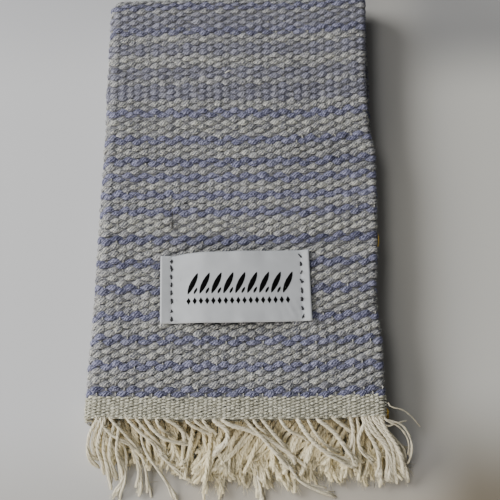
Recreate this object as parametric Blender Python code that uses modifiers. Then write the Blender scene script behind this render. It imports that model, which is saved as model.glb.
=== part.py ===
"""A hand-woven cotton dishcloth, folded in thirds across and then in half at
its far end, so that it lies six layers thick with both fringed ends together.

Metres, +Z up. +X runs along the weft, +Y along the warp from the fringed ends
to the folded end. The origin is at the bottom centre of the whole, on the
surface that it lies on.
"""

import math

import bpy
import bmesh

MM = 0.001

# ---------------------------------------------------------------- dimensions
THICK = 2.2 * MM            # one layer of the cloth
PITCH = 2.65 * MM           # from one layer's middle to the next
LAYERS = 6
FOLD_LEFT = PITCH           # this fold takes in the layer tucked inside it
FOLD_RIGHT = PITCH / 2      # this one is closed on itself
BEND = 2.5 * PITCH          # the outermost layer round the far end
BEND_SAG = 1.4 * MM         # the bend leans outwards below its middle
TUCKED_EDGE = 4.2 * MM      # from the left fold to the tucked flap's selvedge

STACK = THICK + (LAYERS - 1) * PITCH
MIDDLE = STACK / 2

LABEL_WIDTH = 50.0 * MM
LABEL_HEIGHT = 24.8 * MM
LABEL_THICK = 1.0 * MM
LABEL_CENTRE = (-0.3 * MM, -34.3 * MM)
LABEL_TURN = math.radians(1.5)
GAP = 0.3 * MM              # between pieces that lie against each other

STRAND_THICK = 1.1 * MM     # the fringe, as a comb of flattened strands
STRAND_PITCH = 1.45 * MM    # from layer to layer where the strands have sunk
STRAND_CLEAR = 0.15 * MM    # the lowest strands lie this far over the surface
FRINGE = 16.5 * MM          # the longest strands
TOOTH_SHARE = 0.62          # of the pitch of the comb's teeth

# Where the folds lie along the cloth, upper half and lower half, in mm. The
# "selvedge" is the free edge of the left flap, which runs to the right side.
SIDES = (
    # y       left   right  lower_left  lower_right  selvedge
    (-80.0, -47.8, 47.4, -48.8, 46.9, 45.6),
    (-62.7, -47.5, 47.4, -48.6, 46.8, 45.4),
    (-52.7, -47.1, 47.5, -48.2, 46.6, 45.5),
    (-38.9, -47.0, 46.3, -47.8, 46.0, 45.0),
    (-13.8, -46.8, 47.6, -47.2, 46.8, 45.9),
    (1.3, -46.7, 48.1, -46.8, 47.4, 46.5),
    (17.0, -46.7, 48.4, -46.7, 48.0, 47.4),
    (27.0, -46.7, 46.6, -46.6, 48.2, 47.8),
    (47.4, -47.0, 46.4, -46.8, 48.0, 47.9),
    (84.0, -47.3, 47.5, -47.3, 48.4, 47.9),
)
SIDE = dict(left=1, right=2, lower_left=3, lower_right=4, selvedge=5)

# The fringed end and the folded end, across the cloth, in mm.
ENDS = (
    # x       near   far   lower_near
    (-49.0, -78.4, 82.0, -78.0),
    (-41.0, -78.5, 83.3, -78.3),
    (-27.0, -78.7, 83.6, -78.9),
    (-14.0, -78.9, 84.1, -79.2),
    (20.0, -78.6, 84.9, -78.9),
    (49.0, -77.8, 85.4, -78.3),
)
END = dict(near=1, far=2, lower_near=3)

# How high the top lies, as a share of the even stack: low at the fringed end
# and along the sides, with a soft crown and two shallow troughs.
HEIGHTS = (
    # y       left   middle  right
    (-79.0, 0.955, 0.985, 0.960),
    (-48.0, 0.975, 1.005, 0.965),
    (-22.0, 0.970, 1.012, 0.980),
    (8.0, 0.985, 1.000, 0.995),
    (36.0, 0.975, 1.010, 0.970),
    (60.0, 0.985, 1.004, 0.985),
    (84.0, 0.990, 1.000, 1.000),
)
HEIGHT = dict(left=1, middle=2, right=3)

# Lengths of the comb's teeth in mm, layer by layer, from left to right, and
# how far their tips drift sideways.
TEETH = (
    # layer      drift   lengths
    ("front", 3.6, (14.8, 16.1, 13.9, 15.5, 16.5, 14.2, 12.6, 15.1, 16.3, 15.7, 13.8, 15.9)),
    ("tucked", -1.4, (15.6, 14.4, 16.0, 15.2, 16.4, 15.0, 14.1, 16.2, 15.4, 14.6, 16.1, 15.3)),
    ("inner", 1.2, (16.2, 15.0, 15.8, 16.5, 14.7, 15.9, 16.3, 15.1, 14.9, 16.4, 15.5, 14.3)),
)

COLOURS = {
    # finish      base colour             roughness
    "cotton": ((0.330, 0.330, 0.385, 1.0), 0.95),
    "warp_ends": ((0.560, 0.520, 0.430, 1.0), 0.95),
    "ribbon": ((0.560, 0.575, 0.600, 1.0), 0.80),
}


# ------------------------------------------------------------------- helpers
def read(table, column, at):
    """The table's value at this place, eased from row to row."""
    if at <= table[0][0]:
        return table[0][column]
    for low, high in zip(table, table[1:]):
        if at <= high[0]:
            t = (at - low[0]) / (high[0] - low[0])
            t = t * t * (3 - 2 * t)
            return low[column] + (high[column] - low[column]) * t
    return table[-1][column]


def side(name, y):
    return read(SIDES, SIDE[name], y / MM) * MM


def end(name, x):
    return read(ENDS, END[name], x / MM) * MM


def crown(x, y):
    """Share of the stack's height at this place."""
    left, right = side("left", y), side("right", y)
    across = min(max((x - left) / (right - left), 0.0), 1.0)
    middle = math.sin(math.pi * across) ** 0.8
    edge = read(HEIGHTS, HEIGHT["left" if across < 0.5 else "right"], y / MM)
    return edge + (read(HEIGHTS, HEIGHT["middle"], y / MM) - edge) * middle


def mix(a, b, t):
    return a + (b - a) * t


# -------------------------------------------------------------- folded cloth
# Across, the sheet runs from its left flap's selvedge round the left fold,
# over the front panel, round the right fold and back along the tucked flap.
RUNS = (
    # part      steps
    ("inner", 7),
    ("left_fold", 8),
    ("front", 9),
    ("right_fold", 6),
    ("tucked", 7),
)


def stations(runs):
    """(part, share of it) for each column of the sheet."""
    found = [(runs[0][0], 0.0)]
    for part, steps in runs:
        found += [(part, (i + 1) / steps) for i in range(steps)]
    return found


def section(part, share, left, right, selvedge):
    """Place across the stack and depth under its outer face."""
    if part == "inner":
        return mix(selvedge, left + FOLD_LEFT, share), 2 * PITCH
    if part == "left_fold":
        turn = math.pi * share
        return (
            left + FOLD_LEFT - FOLD_LEFT * math.sin(turn),
            PITCH + FOLD_LEFT * math.cos(turn),
        )
    if part == "front":
        return mix(left + FOLD_LEFT, right - FOLD_RIGHT, share), 0.0
    if part == "right_fold":
        turn = math.pi * share
        return (
            right - FOLD_RIGHT + FOLD_RIGHT * math.sin(turn),
            FOLD_RIGHT - FOLD_RIGHT * math.cos(turn),
        )
    return mix(right - FOLD_RIGHT, left + TUCKED_EDGE, share), PITCH


def across(part, share, y, lower):
    """The section where the fold lines are at y, from the upper half (lower = 0) to the lower half (lower = 1)."""
    return section(
        part,
        share,
        mix(side("left", y), side("lower_left", y), lower),
        mix(side("right", y), side("lower_right", y), lower),
        side("selvedge", y),
    )


def place(part, share, half, along):
    """A point of the folded sheet: half is upper, bend or lower, along goes from the fringed end of the upper half to that of the lower half."""
    guess = {"upper": mix(-78 * MM, 74 * MM, along), "bend": 80 * MM, "lower": mix(74 * MM, -78 * MM, along)}[half]
    lower = {"upper": 0.0, "bend": along, "lower": 1.0}[half]
    x, depth = across(part, share, guess, lower)
    start = end("far", x) - BEND - THICK / 2
    if half == "bend":
        turn = math.pi * along
        radius = BEND - depth
        sag = BEND_SAG * math.sin(turn) * (1 - math.cos(turn)) / 2
        y = start + radius * math.sin(turn) + sag * radius / BEND
        z = MIDDLE + radius * math.cos(turn)
    else:
        y = mix(end("near", x), start, along) if half == "upper" else mix(start, end("lower_near", x), along)
        z = STACK - THICK / 2 - depth if half == "upper" else THICK / 2 + depth
        x, depth = across(part, share, y, lower)
    return x, y, sink(x, y, z)


def sink(x, y, z):
    """The crown lifts or sinks a layer with its height, and leaves the lowest one flat."""
    floor = THICK / 2
    rise = (z - floor) / (STACK - THICK)
    return floor + (z - floor) * mix(1.0, crown(x, y), rise)


# --------------------------------------------------------------- the objects
def material(name):
    colour, roughness = COLOURS[name]
    made = bpy.data.materials.new(name)
    made.use_nodes = True
    shader = made.node_tree.nodes["Principled BSDF"]
    shader.inputs["Base Color"].default_value = colour
    shader.inputs["Roughness"].default_value = roughness
    shader.inputs["Metallic"].default_value = 0.0
    return made


def sheet(name, columns, rows, point, keep, thickness, finish):
    """A flat grid, each vertex moved to its place, made thick by Solidify."""
    mesh = bpy.data.meshes.new(name)
    grid = bmesh.new()
    bmesh.ops.create_grid(grid, x_segments=columns, y_segments=rows, size=1.0)
    gone = []
    for face in grid.faces:
        middle = face.calc_center_median()
        i = int((middle.x + 1) / 2 * columns)
        j = int((middle.y + 1) / 2 * rows)
        if not keep(i, j):
            gone.append(face)
    bmesh.ops.delete(grid, geom=gone, context="FACES")
    for vertex in grid.verts:
        i = round((vertex.co.x + 1) / 2 * columns)
        j = round((vertex.co.y + 1) / 2 * rows)
        vertex.co = point(i, j)
    grid.to_mesh(mesh)
    grid.free()
    made = bpy.data.objects.new(name, mesh)
    made.data.materials.append(material(finish))
    made.data.shade_smooth()
    thick = made.modifiers.new("Thickness", "SOLIDIFY")
    thick.thickness = thickness
    thick.offset = 0.0
    thick.use_even_offset = True
    thick.use_quality_normals = True
    return made


def make_cloth():
    columns = stations(RUNS)
    halves = (("upper", 13), ("bend", 9), ("lower", 13))
    rows = [("upper", 0.0)]
    for half, steps in halves:
        rows += [(half, (j + 1) / steps) for j in range(steps)]
    return sheet(
        "cloth",
        len(columns) - 1,
        len(rows) - 1,
        lambda i, j: place(*columns[i], *rows[j]),
        lambda i, j: True,
        THICK,
        "cotton",
    )


def comb_columns():
    """Columns of the comb: (part, share, tooth number or None for a gap to the next column)."""
    order = []
    for part, _ in RUNS:
        if part in ("left_fold", "right_fold"):
            order += [(part, share, None) for share in (0.0, 0.25, 0.5, 0.75)]
            continue
        count = len(TEETH[0][2])
        for k in range(count):
            edge = (1 - TOOTH_SHARE) / 2
            order.append((part, (k + edge) / count, k))
            order.append((part, (k + 1 - edge) / count, None))
    order.append(("tucked", 1.0, None))
    return [("inner", 0.0, None)] + order


COMB_ROWS = (0.0, 0.12, 0.42, 0.72, 1.0)   # shares of a tooth's length


def make_fringe(name, half):
    columns = comb_columns()
    rules = {part: (drift, lengths) for part, drift, lengths in TEETH}
    edge = 0.0 if half == "upper" else 1.0
    sway = 1.0 if half == "upper" else -0.6

    def length(part, share):
        """The flaps run from right to left, so their teeth count back."""
        if part not in rules:
            return FRINGE * 0.9
        lengths = rules[part][1]
        k = min(int(max(share - 1e-6, 0.0) * len(lengths)), len(lengths) - 1)
        return lengths[k if part == "front" else len(lengths) - 1 - k] * MM

    def drift(part):
        """Round a fold the tips drift by the mean of its two layers."""
        sides = {"left_fold": ("inner", "front"), "right_fold": ("front", "tucked")}
        drifts = [rules[each][0] for each in sides.get(part, (part,))]
        return sway * MM * sum(drifts) / len(drifts)

    def point(i, j):
        part, share, _ = columns[i]
        x, y, z = place(part, share, half, edge)
        out = COMB_ROWS[j] * length(part, share)
        t = out / FRINGE
        depth = across(part, share, y, edge)[1] / PITCH
        level = 5 - depth if half == "upper" else depth
        low = STRAND_CLEAR + STRAND_THICK / 2 + level * STRAND_PITCH
        fall = t * t * (3 - 2 * t) if level > 2.5 else t
        return x + drift(part) * t * t, y - GAP - out, mix(z, low, min(fall, 1.0))

    def keep(i, j):
        return j == 0 or columns[i][2] is not None

    return sheet(
        name, len(columns) - 1, len(COMB_ROWS) - 1, point, keep, STRAND_THICK, "warp_ends"
    )


def make_label():
    columns, rows = 14, 8

    def point(i, j):
        x = (i / columns - 0.5) * LABEL_WIDTH
        y = (j / rows - 0.5) * LABEL_HEIGHT
        x, y = (
            LABEL_CENTRE[0] + x * math.cos(LABEL_TURN) - y * math.sin(LABEL_TURN),
            LABEL_CENTRE[1] + x * math.sin(LABEL_TURN) + y * math.cos(LABEL_TURN),
        )
        top = sink(x, y, STACK - THICK / 2) + THICK / 2
        return x, y, top + GAP + 0.1 * MM + LABEL_THICK / 2

    return sheet("label", columns, rows, point, lambda i, j: True, LABEL_THICK, "ribbon")


def bounds(objects):
    graph = bpy.context.evaluated_depsgraph_get()
    low, high = [math.inf] * 3, [-math.inf] * 3
    for made in objects:
        evaluated = made.evaluated_get(graph)
        for vertex in evaluated.to_mesh().vertices:
            for axis in range(3):
                low[axis] = min(low[axis], vertex.co[axis])
                high[axis] = max(high[axis], vertex.co[axis])
        evaluated.to_mesh_clear()
    return low, high


def main():
    for old in list(bpy.data.objects):
        bpy.data.objects.remove(old)
    collection = bpy.data.collections.new("dishcloth")
    bpy.context.scene.collection.children.link(collection)
    made = [
        make_cloth(),
        make_fringe("fringe_front", "upper"),
        make_fringe("fringe_back", "lower"),
        make_label(),
    ]
    stand = bpy.data.objects.new("dishcloth", None)
    collection.objects.link(stand)
    for each in made:
        collection.objects.link(each)
        each.parent = stand
    bpy.context.view_layer.update()
    low, high = bounds(made)
    stand.location = (-(low[0] + high[0]) / 2, -(low[1] + high[1]) / 2, -low[2])


main()
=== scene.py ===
"""The looks of a hand-woven cotton dishcloth, folded in thirds and then in half.

The cloth is a weft-faced plain weave: thick soft picks in grey-cream and
lavender-blue, carried over and under thin cream warps. The picks of every face
that shows are tubes that go over and under, on a thin sheet that follows the
folds. Its ends are a fine cream hem and a fringe of the warp ends. All sizes
below are in millimetres, in the part's own frame before it was centred.
"""

import math

import bpy
import numpy as np
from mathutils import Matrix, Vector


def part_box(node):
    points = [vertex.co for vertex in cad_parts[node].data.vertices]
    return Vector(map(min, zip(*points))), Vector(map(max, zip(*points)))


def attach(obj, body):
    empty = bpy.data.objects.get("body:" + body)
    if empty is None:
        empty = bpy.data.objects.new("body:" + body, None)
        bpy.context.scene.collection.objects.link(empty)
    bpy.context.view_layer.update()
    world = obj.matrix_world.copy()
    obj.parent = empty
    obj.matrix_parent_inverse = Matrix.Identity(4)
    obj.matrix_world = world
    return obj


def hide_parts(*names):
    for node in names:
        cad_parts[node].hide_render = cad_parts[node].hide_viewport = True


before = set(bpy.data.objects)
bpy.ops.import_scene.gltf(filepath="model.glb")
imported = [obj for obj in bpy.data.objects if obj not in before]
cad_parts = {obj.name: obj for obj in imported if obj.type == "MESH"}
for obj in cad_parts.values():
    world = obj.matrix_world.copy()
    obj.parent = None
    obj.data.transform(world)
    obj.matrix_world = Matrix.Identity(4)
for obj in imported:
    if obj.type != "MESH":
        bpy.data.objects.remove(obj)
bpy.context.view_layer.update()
MM = 0.001

# --------------------------------------------------------------- the folding
# The same folds, ends and heights as the part's solids.
THICK, PITCH, LAYERS = 2.2, 2.65, 6
FOLD_LEFT, FOLD_RIGHT, BEND, BEND_SAG, TUCKED_EDGE = PITCH, PITCH / 2, 2.5 * PITCH, 1.4, 4.2
STACK = THICK + (LAYERS - 1) * PITCH
MIDDLE = STACK / 2

SIDES = (
    # y       left   right  lower_left  lower_right  selvedge
    (-80.0, -47.8, 47.4, -48.8, 46.9, 45.6),
    (-62.7, -47.5, 47.4, -48.6, 46.8, 45.4),
    (-52.7, -47.1, 47.5, -48.2, 46.6, 45.5),
    (-38.9, -47.0, 46.3, -47.8, 46.0, 45.0),
    (-13.8, -46.8, 47.6, -47.2, 46.8, 45.9),
    (1.3, -46.7, 48.1, -46.8, 47.4, 46.5),
    (17.0, -46.7, 48.4, -46.7, 48.0, 47.4),
    (27.0, -46.7, 46.6, -46.6, 48.2, 47.8),
    (47.4, -47.0, 46.4, -46.8, 48.0, 47.9),
    (84.0, -47.3, 47.5, -47.3, 48.4, 47.9),
)
SIDE = dict(left=1, right=2, lower_left=3, lower_right=4, selvedge=5)
ENDS = (
    # x       near   far   lower_near
    (-49.0, -78.4, 82.0, -78.0),
    (-41.0, -78.5, 83.3, -78.3),
    (-27.0, -78.7, 83.6, -78.9),
    (-14.0, -78.9, 84.1, -79.2),
    (20.0, -78.6, 84.9, -78.9),
    (49.0, -77.8, 85.4, -78.3),
)
END = dict(near=1, far=2, lower_near=3)
HEIGHTS = (
    # y       left   middle  right
    (-79.0, 0.955, 0.985, 0.960),
    (-48.0, 0.975, 1.005, 0.965),
    (-22.0, 0.970, 1.012, 0.980),
    (8.0, 0.985, 1.000, 0.995),
    (36.0, 0.975, 1.010, 0.970),
    (60.0, 0.985, 1.004, 0.985),
    (84.0, 0.990, 1.000, 1.000),
)
HEIGHT = dict(left=1, middle=2, right=3)

# The label's place fixes how far the part was moved to stand on its origin.
LABEL_CENTRE, LABEL_SIZE, LABEL_TURN = (-0.3, -34.3), (50.0, 24.8), math.radians(1.5)
low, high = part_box("label")
SHIFT = np.array(
    [(low[0] + high[0]) / 2 / MM - LABEL_CENTRE[0], (low[1] + high[1]) / 2 / MM - LABEL_CENTRE[1], 0.0]
)

# ------------------------------------------------------------------ the weave
WARP = 2.95                 # from one warp to the next
PICK = 1.42                 # from one pick to the next
HEM = 7.15                  # the fine band at each end
HEM_PICK = 0.50
RISE = (
    # x     the far picks' rise over their middle, in mm
    (-47.0, -0.4),
    (-30.0, -0.2),
    (-8.0, 0.0),
    (17.0, 0.2),
    (25.0, 0.5),
    (31.0, 1.1),
    (37.0, 1.8),
    (43.0, 2.4),
    (48.0, 2.8),
)

# The stripes, charted from the hem to the far fold: how many picks in
# each band. "mixed" turns from blue to cream and back, pick by pick.
STRIPES = (
    # colour  picks
    ("blue", 2),
    ("cream", 4),
    ("blue", 2),
    ("cream", 4),
    ("blue", 2),
    ("cream", 4),
    ("blue", 2),
    ("cream", 5),
    ("blue", 2),
    ("cream", 4),
    ("blue", 2),
    ("cream", 4),
    ("blue", 2),
    ("cream", 5),
    ("blue", 2),
    ("cream", 3),
    ("blue", 2),
    ("cream", 3),
    ("blue", 2),
    ("cream", 2),
    ("blue", 2),
    ("cream", 4),
    ("blue", 2),
    ("cream", 5),
    ("blue", 2),
    ("cream", 3),
    ("mixed", 5),
    ("cream", 2),
    ("mixed", 3),
    ("cream", 4),
    ("mixed", 3),
    ("cream", 3),
    ("blue", 2),
    ("mixed", 4),
    ("cream", 1),
    ("blue", 2),
    ("cream", 4),
    ("blue", 2),
    ("cream", 4),
)


def noise(seed):
    return np.random.default_rng(seed)


def read(table, column, at):
    """The table's values at these places, eased from row to row."""
    rows = np.asarray(table, float)
    at = np.clip(at, rows[0, 0], rows[-1, 0])
    i = np.clip(np.searchsorted(rows[:, 0], at, side="right") - 1, 0, len(rows) - 2)
    t = (at - rows[i, 0]) / (rows[i + 1, 0] - rows[i, 0])
    t = t * t * (3 - 2 * t)
    return rows[i, column] + (rows[i + 1, column] - rows[i, column]) * t


def mix(a, b, t):
    return a + (b - a) * t


def crown(x, y):
    left, right = read(SIDES, SIDE["left"], y), read(SIDES, SIDE["right"], y)
    across = np.clip((x - left) / (right - left), 0.0, 1.0)
    middle = np.sin(np.pi * across) ** 0.8
    edge = np.where(across < 0.5, read(HEIGHTS, HEIGHT["left"], y), read(HEIGHTS, HEIGHT["right"], y))
    return edge + (read(HEIGHTS, HEIGHT["middle"], y) - edge) * middle


# Across the sheet, a runs from the left flap's selvedge over the front panel
# to the tucked flap's. RUNS gives where each stretch of it begins.
A_INNER = 0.0
A_LEFT = 90.4
A_FRONT = A_LEFT + math.pi * FOLD_LEFT
A_RIGHT = A_FRONT + 91.0
A_TUCKED = A_RIGHT + math.pi * FOLD_RIGHT
A_END = A_TUCKED + 88.6


def section(a, y, lower):
    """Place across the stack and depth under its outer face."""
    left = mix(read(SIDES, SIDE["left"], y), read(SIDES, SIDE["lower_left"], y), lower)
    right = mix(read(SIDES, SIDE["right"], y), read(SIDES, SIDE["lower_right"], y), lower)
    selvedge = read(SIDES, SIDE["selvedge"], y)
    share = lambda start, end: (a - start) / (end - start)
    turn_l = np.pi * np.clip(share(A_LEFT, A_FRONT), 0, 1)
    turn_r = np.pi * np.clip(share(A_RIGHT, A_TUCKED), 0, 1)
    where = [a < A_LEFT, a < A_FRONT, a < A_RIGHT, a < A_TUCKED]
    x = np.select(
        where,
        [
            mix(selvedge, left + FOLD_LEFT, share(A_INNER, A_LEFT)),
            left + FOLD_LEFT - FOLD_LEFT * np.sin(turn_l),
            mix(left + FOLD_LEFT, right - FOLD_RIGHT, share(A_FRONT, A_RIGHT)),
            right - FOLD_RIGHT + FOLD_RIGHT * np.sin(turn_r),
        ],
        mix(right - FOLD_RIGHT, left + TUCKED_EDGE, share(A_TUCKED, A_END)),
    )
    depth = np.select(
        where,
        [
            np.full_like(a, 2 * PITCH),
            PITCH + FOLD_LEFT * np.cos(turn_l),
            np.zeros_like(a),
            FOLD_RIGHT - FOLD_RIGHT * np.cos(turn_r),
        ],
        np.full_like(a, PITCH),
    )
    return x, depth


BEND_LONG = math.pi * BEND


def reach(x):
    """Lengths of the upper half, and of the whole way to the lower end, at x."""
    start = read(ENDS, END["far"], x) - BEND - THICK / 2
    upper = start - read(ENDS, END["near"], x)
    return upper, upper + BEND_LONG + start - read(ENDS, END["lower_near"], x)


def middle_point(a, b):
    """The middle of the sheet at a across it and b along it, b in mm from the upper fringed end round the bend."""
    a, b = np.broadcast_arrays(np.asarray(a, float), np.asarray(b, float))
    y, lower = np.clip(-78.6 + b, -80, 78), np.zeros_like(b)
    for _ in range(3):
        x, depth = section(a, y, lower)
        near = read(ENDS, END["near"], x)
        start = read(ENDS, END["far"], x) - BEND - THICK / 2
        upper = start - near
        turn = np.clip((b - upper) / BEND, 0, np.pi)
        lower = turn / np.pi
        radius = BEND - depth
        sag = BEND_SAG * np.sin(turn) * (1 - np.cos(turn)) / 2
        y_bend = start + radius * np.sin(turn) + sag * radius / BEND
        y = np.where(b < upper, near + b, np.where(b > upper + BEND_LONG, start - (b - upper - BEND_LONG), y_bend))
    z = np.where(lower >= 1, THICK / 2 + depth, MIDDLE + radius * np.cos(turn))
    z = np.where(b < upper, STACK - THICK / 2 - depth, z)
    floor = THICK / 2
    rise = (z - floor) / (STACK - THICK)
    z = floor + (z - floor) * mix(1.0, crown(x, y), rise)
    ripple = 0.16 * np.sin(x / 9.1 + y / 23.0) + 0.12 * np.sin(y / 7.3 - x / 17.0 + 1.1)
    return np.stack([x, y, z + ripple * rise * np.clip(rise, 0, 1)], -1)


def surface(a, b):
    """(point, along the weft, along the warp, outward) on the sheet's middle."""
    e = 0.15
    p = middle_point(a, b)
    ta = middle_point(a + e, b) - middle_point(a - e, b)
    tb = middle_point(a, b + e) - middle_point(a, b - e)
    unit = lambda v: v / np.linalg.norm(v, axis=-1, keepdims=True)
    n = unit(np.cross(ta, tb))
    ta = unit(ta)
    return p, ta, np.cross(n, ta), n


# ------------------------------------------------------------------- meshes
def mesh_of(name, points, quads, caps=(), uv=None, bake=None, tone=None, tint=None, smooth=True):
    """A mesh of quads and end caps from arrays, in metres in the row frame. uv and bake are per corner, in face order."""
    points = (np.asarray(points).reshape(-1, 3) + SHIFT) * MM
    quads = np.asarray(quads, np.int32).reshape(-1, 4)
    caps = np.asarray(caps, np.int32) if len(caps) else np.zeros((0, 1), np.int32)
    mesh = bpy.data.meshes.new(name)
    mesh.vertices.add(len(points))
    mesh.vertices.foreach_set("co", points.astype(np.float32).ravel())
    loops = np.concatenate([quads.ravel(), caps.ravel() if len(caps) else np.zeros(0, np.int32)])
    mesh.loops.add(len(loops))
    mesh.loops.foreach_set("vertex_index", loops.astype(np.int32))
    counts = np.concatenate([np.full(len(quads), 4), np.full(len(caps), caps.shape[1])]).astype(np.int32)
    starts = np.concatenate([[0], np.cumsum(counts)[:-1]]).astype(np.int32)
    mesh.polygons.add(len(counts))
    mesh.polygons.foreach_set("loop_start", starts)
    mesh.polygons.foreach_set("loop_total", counts)
    mesh.polygons.foreach_set("use_smooth", np.full(len(counts), smooth, bool))
    mesh.update(calc_edges=True)
    for title, values in (("OFBake", bake), ("yarn", uv)):
        if values is not None:
            layer = mesh.uv_layers.new(name=title)
            layer.data.foreach_set("uv", np.asarray(values, np.float32).ravel())
    for title, values in (("tone", tone), ("tint", tint)):
        if values is not None:
            made = mesh.attributes.new(title, "FLOAT", "POINT")
            made.data.foreach_set("value", np.asarray(values, np.float32).ravel())
    mesh.validate()
    obj = bpy.data.objects.new(name, mesh)
    bpy.context.scene.collection.objects.link(obj)
    return obj


def tubes(name, rings, along=None, tone=None, tint=None, rows=None):
    """Closed tubes. rings is (yarns, rings, sides, 3); along gives each ring's place along its yarn in mm; tone and tint are per ring."""
    rings = np.asarray(rings)
    k, r, s = rings.shape[:3]
    index = np.arange(k * r * s).reshape(k, r, s)
    a = index[:, :-1, :]
    d = index[:, 1:, :]
    b = np.roll(a, -1, axis=2)
    c = np.roll(d, -1, axis=2)
    quads = np.stack([a, b, c, d], -1).reshape(-1, 4)
    caps = np.concatenate([index[:, 0, ::-1], index[:, -1, :]])
    if along is None:
        step = np.linalg.norm(np.diff(rings.mean(2), axis=1), axis=-1)
        along = np.concatenate([np.zeros((k, 1)), np.cumsum(step, 1)], 1)
    turn = np.arange(s + 1) / s
    rows = k if rows is None else rows
    # The yarn's own map: along it in cm, round it from 0 to 1.
    u0, u1 = along[:, :-1, None] / 10, along[:, 1:, None] / 10
    v0, v1 = turn[None, None, :-1], turn[None, None, 1:]
    shift = np.arange(k)[:, None, None] * 7.31
    full = np.broadcast_arrays(u0 + shift, u1 + shift, v0, v1)
    uv = np.stack([full[0], full[2], full[0], full[3], full[1], full[3], full[1], full[2]], -1).reshape(-1, 2)
    # The bake's map: one strip for each yarn.
    length = along[:, -1:, None]
    strip = np.arange(k)[:, None, None]
    x0, x1 = 0.002 + 0.996 * along[:, :-1, None] / length, 0.002 + 0.996 * along[:, 1:, None] / length
    y0, y1 = (strip + 0.06 + 0.88 * v0) / rows, (strip + 0.06 + 0.88 * v1) / rows
    full = np.broadcast_arrays(x0, x1, y0, y1)
    bake = np.stack([full[0], full[2], full[0], full[3], full[1], full[3], full[1], full[2]], -1).reshape(-1, 2)
    cap_uv = np.zeros((len(caps) * s, 2)) + [0.0, 0.5]
    first = np.stack([np.full(k, 0.001), (np.arange(k) + 0.5) / rows], -1)
    last = np.stack([np.full(k, 0.999), (np.arange(k) + 0.5) / rows], -1)
    cap_bake = np.repeat(np.concatenate([first, last]), s, axis=0)
    spread = lambda v: None if v is None else np.repeat(np.broadcast_to(v, (k, r))[..., None], s, axis=2)
    return mesh_of(
        name, rings, quads, caps, np.concatenate([uv, cap_uv]), np.concatenate([bake, cap_bake]), spread(tone), spread(tint)
    )


# ---------------------------------------------------------------- materials
def socket(shader, values):
    for name, value in values.items():
        shader.inputs[name].default_value = value


def math_node(tree, kind, *values):
    node = tree.nodes.new("ShaderNodeMath")
    node.operation = kind
    for socket_in, value in zip(node.inputs, values):
        if isinstance(value, (int, float)):
            socket_in.default_value = value
        else:
            tree.links.new(value, socket_in)
    return node.outputs[0]


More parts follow.
